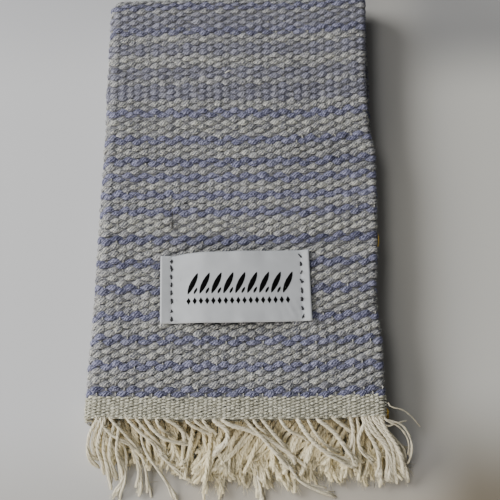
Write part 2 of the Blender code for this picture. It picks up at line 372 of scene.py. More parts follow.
def yarn_material(name, light, dark, tint=(0.3, 0.3, 0.3), tint_from=0.42, tint_to=1.70, plies=4, twist=2.2, streak=0.65, bump=0.95, sheen=0.3, rough=0.92, grit=0.0):
    """Soft spun cotton: streaks that wind round the yarn, fine fibres and slubs, all read from the yarn's own map. Its
    dark and light colours are partly painted shade in the grooves between the plies and painted highlights on their
    crests.
    """
    made = bpy.data.materials.new(name)
    made.use_nodes = True
    tree = made.node_tree
    nodes, links = tree.nodes, tree.links
    calc = lambda kind, *values: math_node(tree, kind, *values)
    shader = nodes["Principled BSDF"]
    socket(shader, {"Roughness": rough, "Sheen Weight": sheen, "Sheen Roughness": 0.5, "Specular IOR Level": 0.2})
    shader.inputs["Sheen Tint"].default_value = (*light, 1.0)
    uv = nodes.new("ShaderNodeUVMap")
    uv.uv_map = "yarn"
    split = nodes.new("ShaderNodeSeparateXYZ")
    links.new(uv.outputs[0], split.inputs[0])

    def noise_node(vector, scale, detail, rough_noise=0.6):
        node = nodes.new("ShaderNodeTexNoise")
        node.inputs["Scale"].default_value = scale
        node.inputs["Detail"].default_value = detail
        node.inputs["Roughness"].default_value = rough_noise
        links.new(vector, node.inputs["Vector"])
        return node.outputs[0]

    # Fibre bundles wind round the yarn: a wave of the place round it plus the place along it, unevenly.
    wobble = noise_node(uv.outputs[0], 7.0, 2.0)
    turn = calc("ADD", calc("MULTIPLY", split.outputs[0], twist), split.outputs[1])
    turn = calc("ADD", turn, calc("MULTIPLY", wobble, 0.30))
    wave = calc("SINE", calc("MULTIPLY", turn, 2 * math.pi * plies))
    ply = calc("ADD", calc("MULTIPLY", wave, 0.5), 0.5)
    # Single fibres: noise drawn out along the bundles.
    combine = nodes.new("ShaderNodeCombineXYZ")
    links.new(calc("MULTIPLY", split.outputs[0], 5.0), combine.inputs[0])
    links.new(calc("MULTIPLY", turn, 12.0), combine.inputs[1])
    fibre = noise_node(combine.outputs[0], 1.5, 4.0, 0.7)
    # Thick and thin places, a few millimetres long.
    slub = noise_node(uv.outputs[0], 2.6, 2.0)
    # Tangled fibre ends, half a millimetre across; in the colour they also paint small highlight specks.
    where = nodes.new("ShaderNodeTexCoord")
    tangle = calc("SUBTRACT", noise_node(where.outputs["Object"], 2300.0, 2.0, 0.75), 0.5)

    tone = nodes.new("ShaderNodeAttribute")
    tone.attribute_name = "tone"
    tinted = nodes.new("ShaderNodeAttribute")
    tinted.attribute_name = "tint"
    # The dark colour paints shade in the grooves between the plies and the light one painted highlights on their
    # crests, over the yarn's own uneven tone.
    base = nodes.new("ShaderNodeMix")
    base.data_type = "RGBA"
    base.inputs["A"].default_value = (*dark, 1.0)
    base.inputs["B"].default_value = (*light, 1.0)
    shade = calc("ADD", calc("MULTIPLY", ply, streak * 1.3), 0.62 - 0.65 * streak - 0.13 * grit)
    shade = calc("ADD", shade, calc("MULTIPLY", calc("SUBTRACT", fibre, 0.5), 2.2))
    shade = calc("ADD", shade, calc("MULTIPLY", calc("SUBTRACT", slub, 0.5), 1.0))
    shade = calc("ADD", shade, calc("MULTIPLY", tangle, 3.8 * grit))
    shade = calc("ADD", shade, tone.outputs["Fac"])
    clamp = nodes.new("ShaderNodeClamp")
    links.new(shade, clamp.inputs[0])
    links.new(clamp.outputs[0], base.inputs["Factor"])
    over = nodes.new("ShaderNodeMix")
    over.data_type = "RGBA"
    links.new(tinted.outputs["Fac"], over.inputs["Factor"])
    links.new(base.outputs["Result"], over.inputs["A"])
    # The tint is streaked as the yarn's own colour is, with the same painted shade and highlights.
    other = nodes.new("ShaderNodeMix")
    other.data_type = "RGBA"
    other.inputs["A"].default_value = (*(tint_from * v for v in tint), 1.0)
    other.inputs["B"].default_value = (*(min(tint_to * v, 0.97) for v in tint), 1.0)
    links.new(clamp.outputs[0], other.inputs["Factor"])
    links.new(other.outputs["Result"], over.inputs["B"])
    links.new(over.outputs["Result"], shader.inputs["Base Color"])

    relief = nodes.new("ShaderNodeBump")
    relief.inputs["Strength"].default_value = bump
    relief.inputs["Distance"].default_value = 0.00045
    height = calc("ADD", calc("MULTIPLY", ply, 0.75), calc("MULTIPLY", fibre, 1.0))
    height = calc("ADD", height, calc("MULTIPLY", tangle, 1.9 * grit))
    links.new(height, relief.inputs["Height"])
    links.new(relief.outputs[0], shader.inputs["Normal"])
    return made


CREAM = yarn_material("weft_cream", (0.795, 0.79, 0.712), (0.122, 0.128, 0.168), tint=(0.26, 0.262, 0.325), grit=1.0)
BLUE = yarn_material("weft_blue", (0.415, 0.420, 0.608), (0.050, 0.054, 0.112), tint=(0.255, 0.257, 0.315), grit=1.0)
WARP_COTTON = yarn_material("warp_cotton", (0.58, 0.57, 0.53), (0.28, 0.275, 0.25), tint=(0.80, 0.79, 0.73), tint_from=0.85, tint_to=1.15, plies=3, twist=3.0, streak=0.35)
HEM_COTTON = yarn_material("hem_cotton", (0.985, 0.965, 0.815), (0.44, 0.42, 0.31), plies=3, twist=3.0, streak=0.35, grit=0.4)
STRAND_COTTON = yarn_material("strand_cotton", (0.975, 0.915, 0.73), (0.54, 0.45, 0.28), plies=4, twist=1.5, streak=0.45, bump=0.65, tint=(0.88, 0.735, 0.44), tint_from=0.75, tint_to=1.15)


def dress(obj, material):
    obj.data.materials.append(material)
    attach(obj, "root")
    return obj


# --------------------------------------------------------------- base sheet
def base_sheet():
    """The thin sheet under the yarns, which closes the gaps between them and is the cloth's inner layers. Its dark
    colour is painted shade in those gaps.
    """
    columns = np.unique(
        np.concatenate(
            [
                np.linspace(A_INNER, A_LEFT, 12),
                np.linspace(A_LEFT, A_FRONT, 9),
                np.linspace(A_FRONT, A_RIGHT, 22),
                np.linspace(A_RIGHT, A_TUCKED, 7),
                np.linspace(A_TUCKED, A_END, 12),
            ]
        )
    )
    rows = np.concatenate([np.linspace(0, 1, 30) * 0.455, 0.455 + 0.09 * np.linspace(0.08, 0.92, 12), 0.545 + 0.455 * np.linspace(0, 1, 30)])
    x, _ = section(columns, np.full_like(columns, 0.0), np.zeros_like(columns))
    upper, whole = reach(x)
    b = np.empty((len(rows), len(columns)))
    for j, share in enumerate(rows):
        # Shares 0.455 and 0.545 are where the bend starts and ends.
        b[j] = np.where(
            share <= 0.455,
            share / 0.455 * upper,
            np.where(
                share < 0.545,
                upper + (share - 0.455) / 0.09 * BEND_LONG,
                upper + BEND_LONG + (share - 0.545) / 0.455 * (whole - upper - BEND_LONG),
            ),
        )
    b = 0.7 + b * ((whole - 1.4) / whole)
    a = np.broadcast_to(columns, b.shape)
    p, _, _, n = surface(a, b)
    # Thin at the hems, where the fine picks lie on both its faces.
    end = np.minimum(b, reach(x)[1][None, :] - b)
    half = (0.12 + 0.17 * np.clip((end - 2.6) / 1.5, 0, 1))[..., None]
    top, under = p + half * n, p - half * n
    count = a.size
    index = np.arange(count).reshape(a.shape)
    quad = lambda i00, i10, i11, i01: np.stack([i00, i10, i11, i01], -1).reshape(-1, 4)
    face = quad(index[:-1, :-1], index[:-1, 1:], index[1:, 1:], index[1:, :-1])
    back = face[:, ::-1] + count
    walls = []
    for line, flip in ((index[0], False), (index[-1][::-1], False), (index[:, 0][::-1], False), (index[:, -1], False)):
        walls.append(np.stack([line[:-1], line[:-1] + count, line[1:] + count, line[1:]], -1))
    quads = np.concatenate([face, back, *walls])
    au, bu = np.concatenate([a.ravel(), a.ravel()]), np.concatenate([b.ravel(), b.ravel()])
    uv = np.stack([au / WARP, bu / PICK], -1)[quads.ravel()]
    side = (np.arange(len(quads)) >= len(face)) & (np.arange(len(quads)) < 2 * len(face))
    bake = np.stack([au / A_END, bu / b.max()], -1)[quads.ravel()].reshape(-1, 4, 2)
    bake[..., 0] = np.where(side[:, None], 0.5 + 0.49 * bake[..., 0], 0.49 * bake[..., 0] + 0.005)
    return mesh_of("cloth_sheet", np.concatenate([top, under]), quads, (), uv, bake.reshape(-1, 2))


def sheet_material():
    """The inner layers: the weave as relief, one cell for each crossing. The dark colour paints the shade between the
    picks, darker still in the mortar between cells.
    """
    made = bpy.data.materials.new("sheet_weave")
    made.use_nodes = True
    nodes, links = made.node_tree.nodes, made.node_tree.links
    shader = nodes["Principled BSDF"]
    socket(shader, {"Roughness": 0.95, "Sheen Weight": 0.25, "Specular IOR Level": 0.2})
    uv = nodes.new("ShaderNodeUVMap")
    uv.uv_map = "yarn"
    bricks = nodes.new("ShaderNodeTexBrick")
    bricks.offset, bricks.squash = 0.5, 1.0
    bricks.inputs["Scale"].default_value = 1.0
    bricks.inputs["Brick Width"].default_value = 2.0
    bricks.inputs["Row Height"].default_value = 1.0
    bricks.inputs["Mortar Size"].default_value = 0.22
    bricks.inputs["Mortar Smooth"].default_value = 1.0
    # Painted shade: the sheet is dark where it shows between the picks, the mortar darkest.
    bricks.inputs["Color1"].default_value = (0.17, 0.17, 0.19, 1)
    bricks.inputs["Color2"].default_value = (0.19, 0.19, 0.19, 1)
    bricks.inputs["Mortar"].default_value = (0.08, 0.08, 0.092, 1)
    links.new(uv.outputs[0], bricks.inputs["Vector"])
    links.new(bricks.outputs["Color"], shader.inputs["Base Color"])
    relief = nodes.new("ShaderNodeBump")
    relief.invert = True
    relief.inputs["Strength"].default_value = 0.8
    relief.inputs["Distance"].default_value = 0.0005
    links.new(bricks.outputs["Fac"], relief.inputs["Height"])
    links.new(relief.outputs[0], shader.inputs["Normal"])
    return made


# -------------------------------------------------------------------- picks
FIRST_WARP = A_FRONT - 8.6          # the warp nearest the inner end of the shown picks
WARPS_SHOWN = 39
WARP_WANDER = 0.12 * noise(5).normal(size=WARPS_SHOWN)


# A bump's outline, from its middle (0) to the next warp (1): an oval, then the thin stretch under that warp.
OVAL = ((0.0, 0.16, 0.33, 0.5, 0.75, 1.0), (1.0, 0.96, 0.78, 0.36, 0.0, 0.0))


def woven(parity, b_of, count, start, warps, seed, sides=8, over=(-0.5, -0.33, -0.16, 0.0, 0.16, 0.33), under=(-0.5, -0.25, 0.0, 0.25),
          wide=(1.16, 0.52, None), high=(0.47, 0.38), rise=(0.61, -0.32, 1.5), lean=0.10, odd_size=(0.10, 0.12, 0.12),
          floor=None, wander=None, tilt_more=1.0, lumps=0.06, shear=0.32, gap=WARP, skew=0.42):
    """Yarns along the weft that go over and under the warps.

    parity is the warp each yarn starts over (0) or under (1); b_of gives their
    places along the warp at each place across. wide and high are half sizes
    over a warp and under one; rise is the height of the yarn's middle over the
    sheet's at both. The third number is how late it changes from one to the
    other (None is the oval), and skew how much more abruptly a bump starts
    than it ends. The twist of the yarn shears each bump, as much as tilt_more
    says for each yarn. Returns (rings, along, tone,
    fleck), fleck being how much lint of the other colour a bump carries.
    """
    rng = noise(seed)
    kappa = []
    for k in range(warps):
        kappa += [k + f for f in (over if (k + parity) % 2 == 0 else under)]
    kappa = np.array(kappa + [warps - 0.5])
    at = np.clip(np.round(kappa).astype(int), 0, warps - 1)
    a = start + kappa * gap
    if wander is not None:
        a = a + wander[at]
    m, r = count, len(kappa)
    a = np.broadcast_to(a, (m, r))
    phase = np.pi * (kappa - parity)
    wave, side = np.cos(phase)[None, :], np.sin(phase)[None, :]
    # How far it is to the warp this yarn last went over: 0 on it, 1 at the next.
    away = np.abs((kappa - parity + 1) % 2 - 1)[None, :]
    odd = rng.normal(size=(5, m, warps))[:, :, at]
    weight = np.clip(1 - away, 0, 1) ** 0.5
    x, _ = section(a[0], np.zeros(r), np.zeros(r))
    tilt_more = np.broadcast_to(tilt_more, m)[:, None]
    more = tilt_more * (0.4 + 0.46 * np.clip((x - 8) / 28, 0, 1)[None, :])
    leaning = lean * more * (1 + 0.4 * odd[3])
    b = b_of(a[0]) + leaning * side + odd_size[0] * weight * odd[0]
    p, ta, tb, n = surface(a, b)
    late = 1 - skew * np.sign(side)
    shaped = away ** (1 + 0.6 * (late - 1))
    outline = np.interp(shaped, *OVAL) if wide[2] is None else 1 - shaped ** wide[2]
    half_w = (wide[1] + (wide[0] - wide[1]) * outline) * (1 + odd_size[1] * weight * odd[1])
    half_h = (high[0] + (high[1] - high[0]) * away) * (1 + odd_size[2] * weight * odd[2])
    lift = rise[0] + (rise[1] - rise[0]) * away ** (rise[2] * late) + 0.05 * weight * odd[2]
    centre = p + lift[..., None] * n
    slope = (rise[1] - rise[0]) * rise[2] * late * np.maximum(away, 0.02) ** (rise[2] * late - 1) * np.sign(side) / gap
    tilt = np.arctan(slope)[..., None]
    up_dir = n * np.cos(tilt) - ta * np.sin(tilt)
    theta = 2 * np.pi * (np.arange(sides) + 0.5) / sides
    ring = (
        centre[:, :, None, :]
        + (half_w[..., None] * np.cos(theta))[..., None] * (tb + (shear * more)[..., None] * ta)[:, :, None, :]
        + (half_h[..., None] * np.sin(theta))[..., None] * up_dir[:, :, None, :]
    )
    ring = ring + lumps * rng.normal(size=ring.shape)
    # Both ends are drawn in, so that a cut end is never a flat disc.
    for end, inside in ((0, 1), (-1, -2)):
        hub = ring[:, end].mean(1, keepdims=True)
        ring[:, end] = hub + 0.45 * (ring[:, end] - hub)
    if floor is not None:
        ring[..., 2] = np.maximum(ring[..., 2], floor)
    along = np.broadcast_to((kappa - kappa[0]) * gap * 1.12, (m, r))
    tone = 0.06 * rng.normal(size=(m, 1)) + 0.09 * odd[0]
    return ring, along, tone, 0.13 * np.abs(odd[4])


def join(name, objects):
    """Joins meshes that have no materials yet into the first one. Their bake maps are stacked."""
    if len(objects) > 1:
        rows = [len(o.data.loops) for o in objects]
        total = sum(rows)
        start = 0.0
        for o, count in zip(objects, rows):
            share = count / total
            layer = o.data.uv_layers["OFBake"].data
            values = np.empty(len(layer) * 2, np.float32)
            layer.foreach_get("uv", values)
            values = values.reshape(-1, 2)
            values[:, 1] = start + values[:, 1] * share
            layer.foreach_set("uv", values.ravel())
            start += share
        with bpy.context.temp_override(
            active_object=objects[0], selected_editable_objects=objects, object=objects[0], selected_objects=objects
        ):
            bpy.ops.object.join()
    made = objects[0]
    made.name = name
    made.data.name = name
    return made


UPPER_PICKS = 102
ALL_PICKS = UPPER_PICKS + 114


def pick_path(index, a):
    """b of this pick at each a: parallel to the fringed end near it, risen at the right as the far picks are."""
    x, _ = section(a, np.zeros_like(a), np.zeros_like(a))
    near = read(ENDS, END["near"], x)
    far = 74.0 + read(RISE, 1, x)
    pitch = (far - near - HEM) / UPPER_PICKS
    upper, whole = reach(x)
    turn_b = HEM + UPPER_PICKS * pitch
    rest = (whole - HEM - turn_b) / (ALL_PICKS - UPPER_PICKS)
    # The picks are a little closer in some places than in others.
    place = index + 0.5 + 0.35 * math.sin(index / 5.1) + 0.18 * math.sin(index / 2.3 + 1)
    b = HEM + place * pitch
    return np.where(index < UPPER_PICKS, b, turn_b + (place - UPPER_PICKS) * rest)


def stripe_of(count):
    """Colour of each pick from the upper hem to the lower one, and whether its yarn is a blend of both. The second half repeats the first, turned round."""
    line = []
    for colour, picks in STRIPES:
        for i in range(picks):
            line.append((("blue", "cream")[i % 2], 1.0) if colour == "mixed" else (colour, 0.0))
    line += [(colour, 0.0) for colour in ("blue", "blue", "cream", "cream", "cream", "cream")] * 3
    first = line[: count // 2 + count % 2]
    both = first + first[: count // 2][::-1]
    return np.array([colour for colour, _ in both]), np.array([blend for _, blend in both])


def weft(name, which, material, seed, tint, **how):
    """The picks in which, as one piece."""
    made = []
    # Neighbouring picks wander together: their own random walk is smoothed over the nearest five.
    slow = np.cumsum(noise(7).normal(size=(ALL_PICKS, WARPS_SHOWN)), axis=1)
    slow -= slow.mean(1, keepdims=True)
    slow = 0.10 * np.stack([np.convolve(column, np.ones(5) / 5, "same") for column in slow.T], 1)
    warp_at = FIRST_WARP + WARP * np.arange(WARPS_SHOWN)
    for parity in (0, 1):
        group = which[which % 2 == parity]
        if not len(group):
            continue
        place = lambda a: np.stack([pick_path(i, a) + np.interp(a, warp_at, slow[i]).clip(-0.3, 0.3) for i in group])
        ring, along, tone, fleck = woven(
            parity, place, len(group), FIRST_WARP, WARPS_SHOWN, seed + parity, wander=WARP_WANDER, tilt_more=LEANING[group], **how
        )
        made.append(tubes(f"{name}_{parity}", ring, along=along, tone=tone, tint=tint[group][:, None] + fleck))
    return dress(join(name, made), material)


COARSE = {"sides": 5, "over": (-0.5, -0.25, 0.0, 0.25), "under": (-0.5, 0.0), "wide": (1.18, 0.5, 1.1), "floor": 0.03}

colours, blended = stripe_of(ALL_PICKS)
picks = np.arange(ALL_PICKS)
# Yarns next to another colour take up a little of its lint.
other = np.zeros(ALL_PICKS)
other[:-1] += colours[:-1] != colours[1:]
other[1:] += colours[1:] != colours[:-1]
tint = np.where(colours == "cream", 0.30 * (other > 0) + 0.10 * (other > 1), 0.05 * other)
# Towards the far fold the two colours are closer to each other.
tint = tint + np.where(colours == "cream", 0.10, 0.20) * np.clip((picks - 70) / 20, 0, 1)
tint = np.maximum(tint, 0.88 * blended)

# The bumps lean most at the fringed end and hardly at all near the far fold.
LEANING = 1.15 - 0.85 * np.clip((picks - 25) / 50, 0, 1)

pieces = []
is_cream, is_blue = colours == "cream", colours == "blue"
near_half, upper = picks < 54, picks < UPPER_PICKS + 10
for name, group, material, how in (
    ("weft_cream_near", is_cream & near_half, CREAM, {}),
    ("weft_cream_far", is_cream & upper & ~near_half, CREAM, {}),
    ("weft_blue_upper", is_blue & upper, BLUE, {}),
    ("weft_cream_lower", is_cream & ~upper, CREAM, COARSE),
    ("weft_blue_lower", is_blue & ~upper, BLUE, COARSE),
):
    pieces.append(weft(name, picks[group], material, 11 + len(pieces), tint, **how))


def selvedge():
    """The left flap's woven edge, which is seen from the right side between the two folds."""
    made = []
    for colour, material in (("cream", CREAM), ("blue", BLUE)):
        both = []
        for parity in (0, 1):
            group = picks[(colours == colour) & (picks % 2 == parity)]
            place = lambda a: np.stack([pick_path(i, a) for i in group])
            how = {**COARSE, "wide": (0.98, 0.6, 1.2)}
            ring, along, tone, fleck = woven(parity, place, len(group), 0.9, 3, 91 + parity, **how)
            both.append(tubes(f"selvedge_{colour}_{parity}", ring, along=along, tone=tone, tint=tint[group][:, None] + fleck))
        made.append(dress(join(f"selvedge_{colour}", both), material))
    return made


pieces += selvedge()


# -------------------------------------------------------------------- warps
def warps():
    """The thin warps, seen as short ticks where two bumps of one column part."""
    rng = noise(31)
    k = np.arange(WARPS_SHOWN)
    start = (FIRST_WARP + k * WARP + WARP_WANDER)[:, None]
    steps = 90
    share = np.linspace(0, 1, steps)
    x, _ = section(start[:, 0], np.zeros(len(k)), np.zeros(len(k)))
    _, whole = reach(x)
    b = 0.6 + share[None, :] * (whole[:, None] - 1.2)
    a = np.broadcast_to(start, b.shape) + 0.10 * np.sin(share * 70 + 6.3 * rng.random(len(k))[:, None])
    p, ta, tb, n = surface(a, b)
    theta = 2 * np.pi * np.arange(6) / 6
    # Most of it lies deep between the picks; here and there it rides up as a pale tick.
    high = (-0.14 + 0.13 * rng.normal(size=b.shape)).clip(-0.4, 0.3) + 0.42 * (rng.random(b.shape) < 0.07)
    centre = p + high[..., None] * n
    ring = centre[:, :, None, :] + 0.33 * (
        np.cos(theta)[None, None, :, None] * ta[:, :, None, :] + np.sin(theta)[None, None, :, None] * n[:, :, None, :]
    )
    ring[..., 2] = np.maximum(ring[..., 2], 0.05)
    made = [tubes("warps_long", ring[:, :, ::-1], tone=0.1 * rng.normal(size=(len(k), steps)), tint=0.0)]

    # Over a blue pick a warp often rides up to the face, most of all near the hem.
    column, pick = [], []
    for i in np.flatnonzero(colours[:70] == "blue"):
        chance = 0.72 if i < 8 else 0.36 if i < 30 else 0.16
        for j in range(3, WARPS_SHOWN - 3):
            if (i + j) % 2 == 1 and rng.random() < chance:
                column.append(j)
                pick.append(i)
    column = np.array(column)
    share = np.linspace(-1, 1, 5)[None, :]
    a = np.broadcast_to((FIRST_WARP + column * WARP + WARP_WANDER[column] + 0.12 * rng.normal(size=len(column)))[:, None], (len(column), 5))
    b = np.array([pick_path(i, row) for i, row in zip(pick, a)]) + share * (0.62 + 0.08 * rng.normal(size=(len(column), 1)))
    p, ta, tb, n = surface(a, b)
    centre = p + (0.22 + 0.66 * (1 - share**2) + 0.06 * rng.normal(size=(len(column), 1)))[..., None] * n
    theta = 2 * np.pi * np.arange(5) / 5
    size = (0.20 - 0.05 * share**2)[..., None, None]
    ring = centre[:, :, None, :] + size * (
        np.cos(theta)[None, None, :, None] * ta[:, :, None, :] + np.sin(theta)[None, None, :, None] * n[:, :, None, :]
    )
    made.append(tubes("warps_short", ring[:, :, ::-1], tone=0.3, tint=0.55 + 0.4 * rng.random((len(column), 1))))
    return dress(join("warps", made), WARP_COTTON)


pieces.append(warps())


# ----------------------------------------------------------------------- hem
HEM_FINE = {
    "sides": 6,
    "over": (-0.5, -0.25, 0.0, 0.25),
    "under": (-0.5, 0.0),
    "wide": (0.43, 0.20, 1.1),
    "high": (0.34, 0.22),
    "rise": (0.80, 0.10, 1.2),
    "lean": 0.03,
    "odd_size": (0.07, 0.16, 0.14),
    "lumps": 0.025,
    "tilt_more": 1.0,
    "shear": 0.35,
    "gap": WARP / 2,
}


def hem(name, lower, seed, start, warps, rows, how):
    """The fine cream band: thin picks over and under single warps."""
    both = []
    for parity in (0, 1):
        group = rows[rows % 2 == parity]

        def place(a):
            b = 0.35 + (group[:, None] + 0.5) * HEM_PICK + np.zeros_like(a)
            if not lower:
                return b
            x, _ = section(a, np.full(len(a), -78.0), np.ones(len(a)))
            return reach(x)[1][None, :] - b

        wander = 0.08 * noise(seed + 7).normal(size=warps)
        ring, along, tone, _ = woven(
            parity, place, len(group), start, warps, seed + parity, floor=0.03 if lower else None, wander=wander, **how
        )
        both.append(tubes(f"{name}_{parity}", ring, along=along, tone=1.2 * tone))
    return dress(join(name, both), HEM_COTTON)


all_rows, last = np.arange(14), np.arange(4)
pieces.append(hem("hem_upper", False, 41, FIRST_WARP, 2 * WARPS_SHOWN - 1, all_rows, HEM_FINE))
pieces.append(hem("hem_lower", True, 43, FIRST_WARP, 2 * WARPS_SHOWN - 1, all_rows, {**HEM_FINE, "sides": 5, "over": (-0.5, -0.15, 0.2)}))
inner_how = {**HEM_FINE, "over": (-0.5, -0.2, 0.2), "wide": (0.42, 0.36, 1.0), "rise": (0.42, -0.42, 1.4), "gap": WARP}
for title, at, count in (("tucked", A_TUCKED + 9.0, 26), ("inner", 1.5, 30)):
    for part, is_lower in (("upper", False), ("lower", True)):
        pieces.append(hem(f"hem_{title}_{part}", is_lower, 45 + len(pieces), at, count, last, inner_how))

sheet = dress(base_sheet(), sheet_material())
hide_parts("cloth")


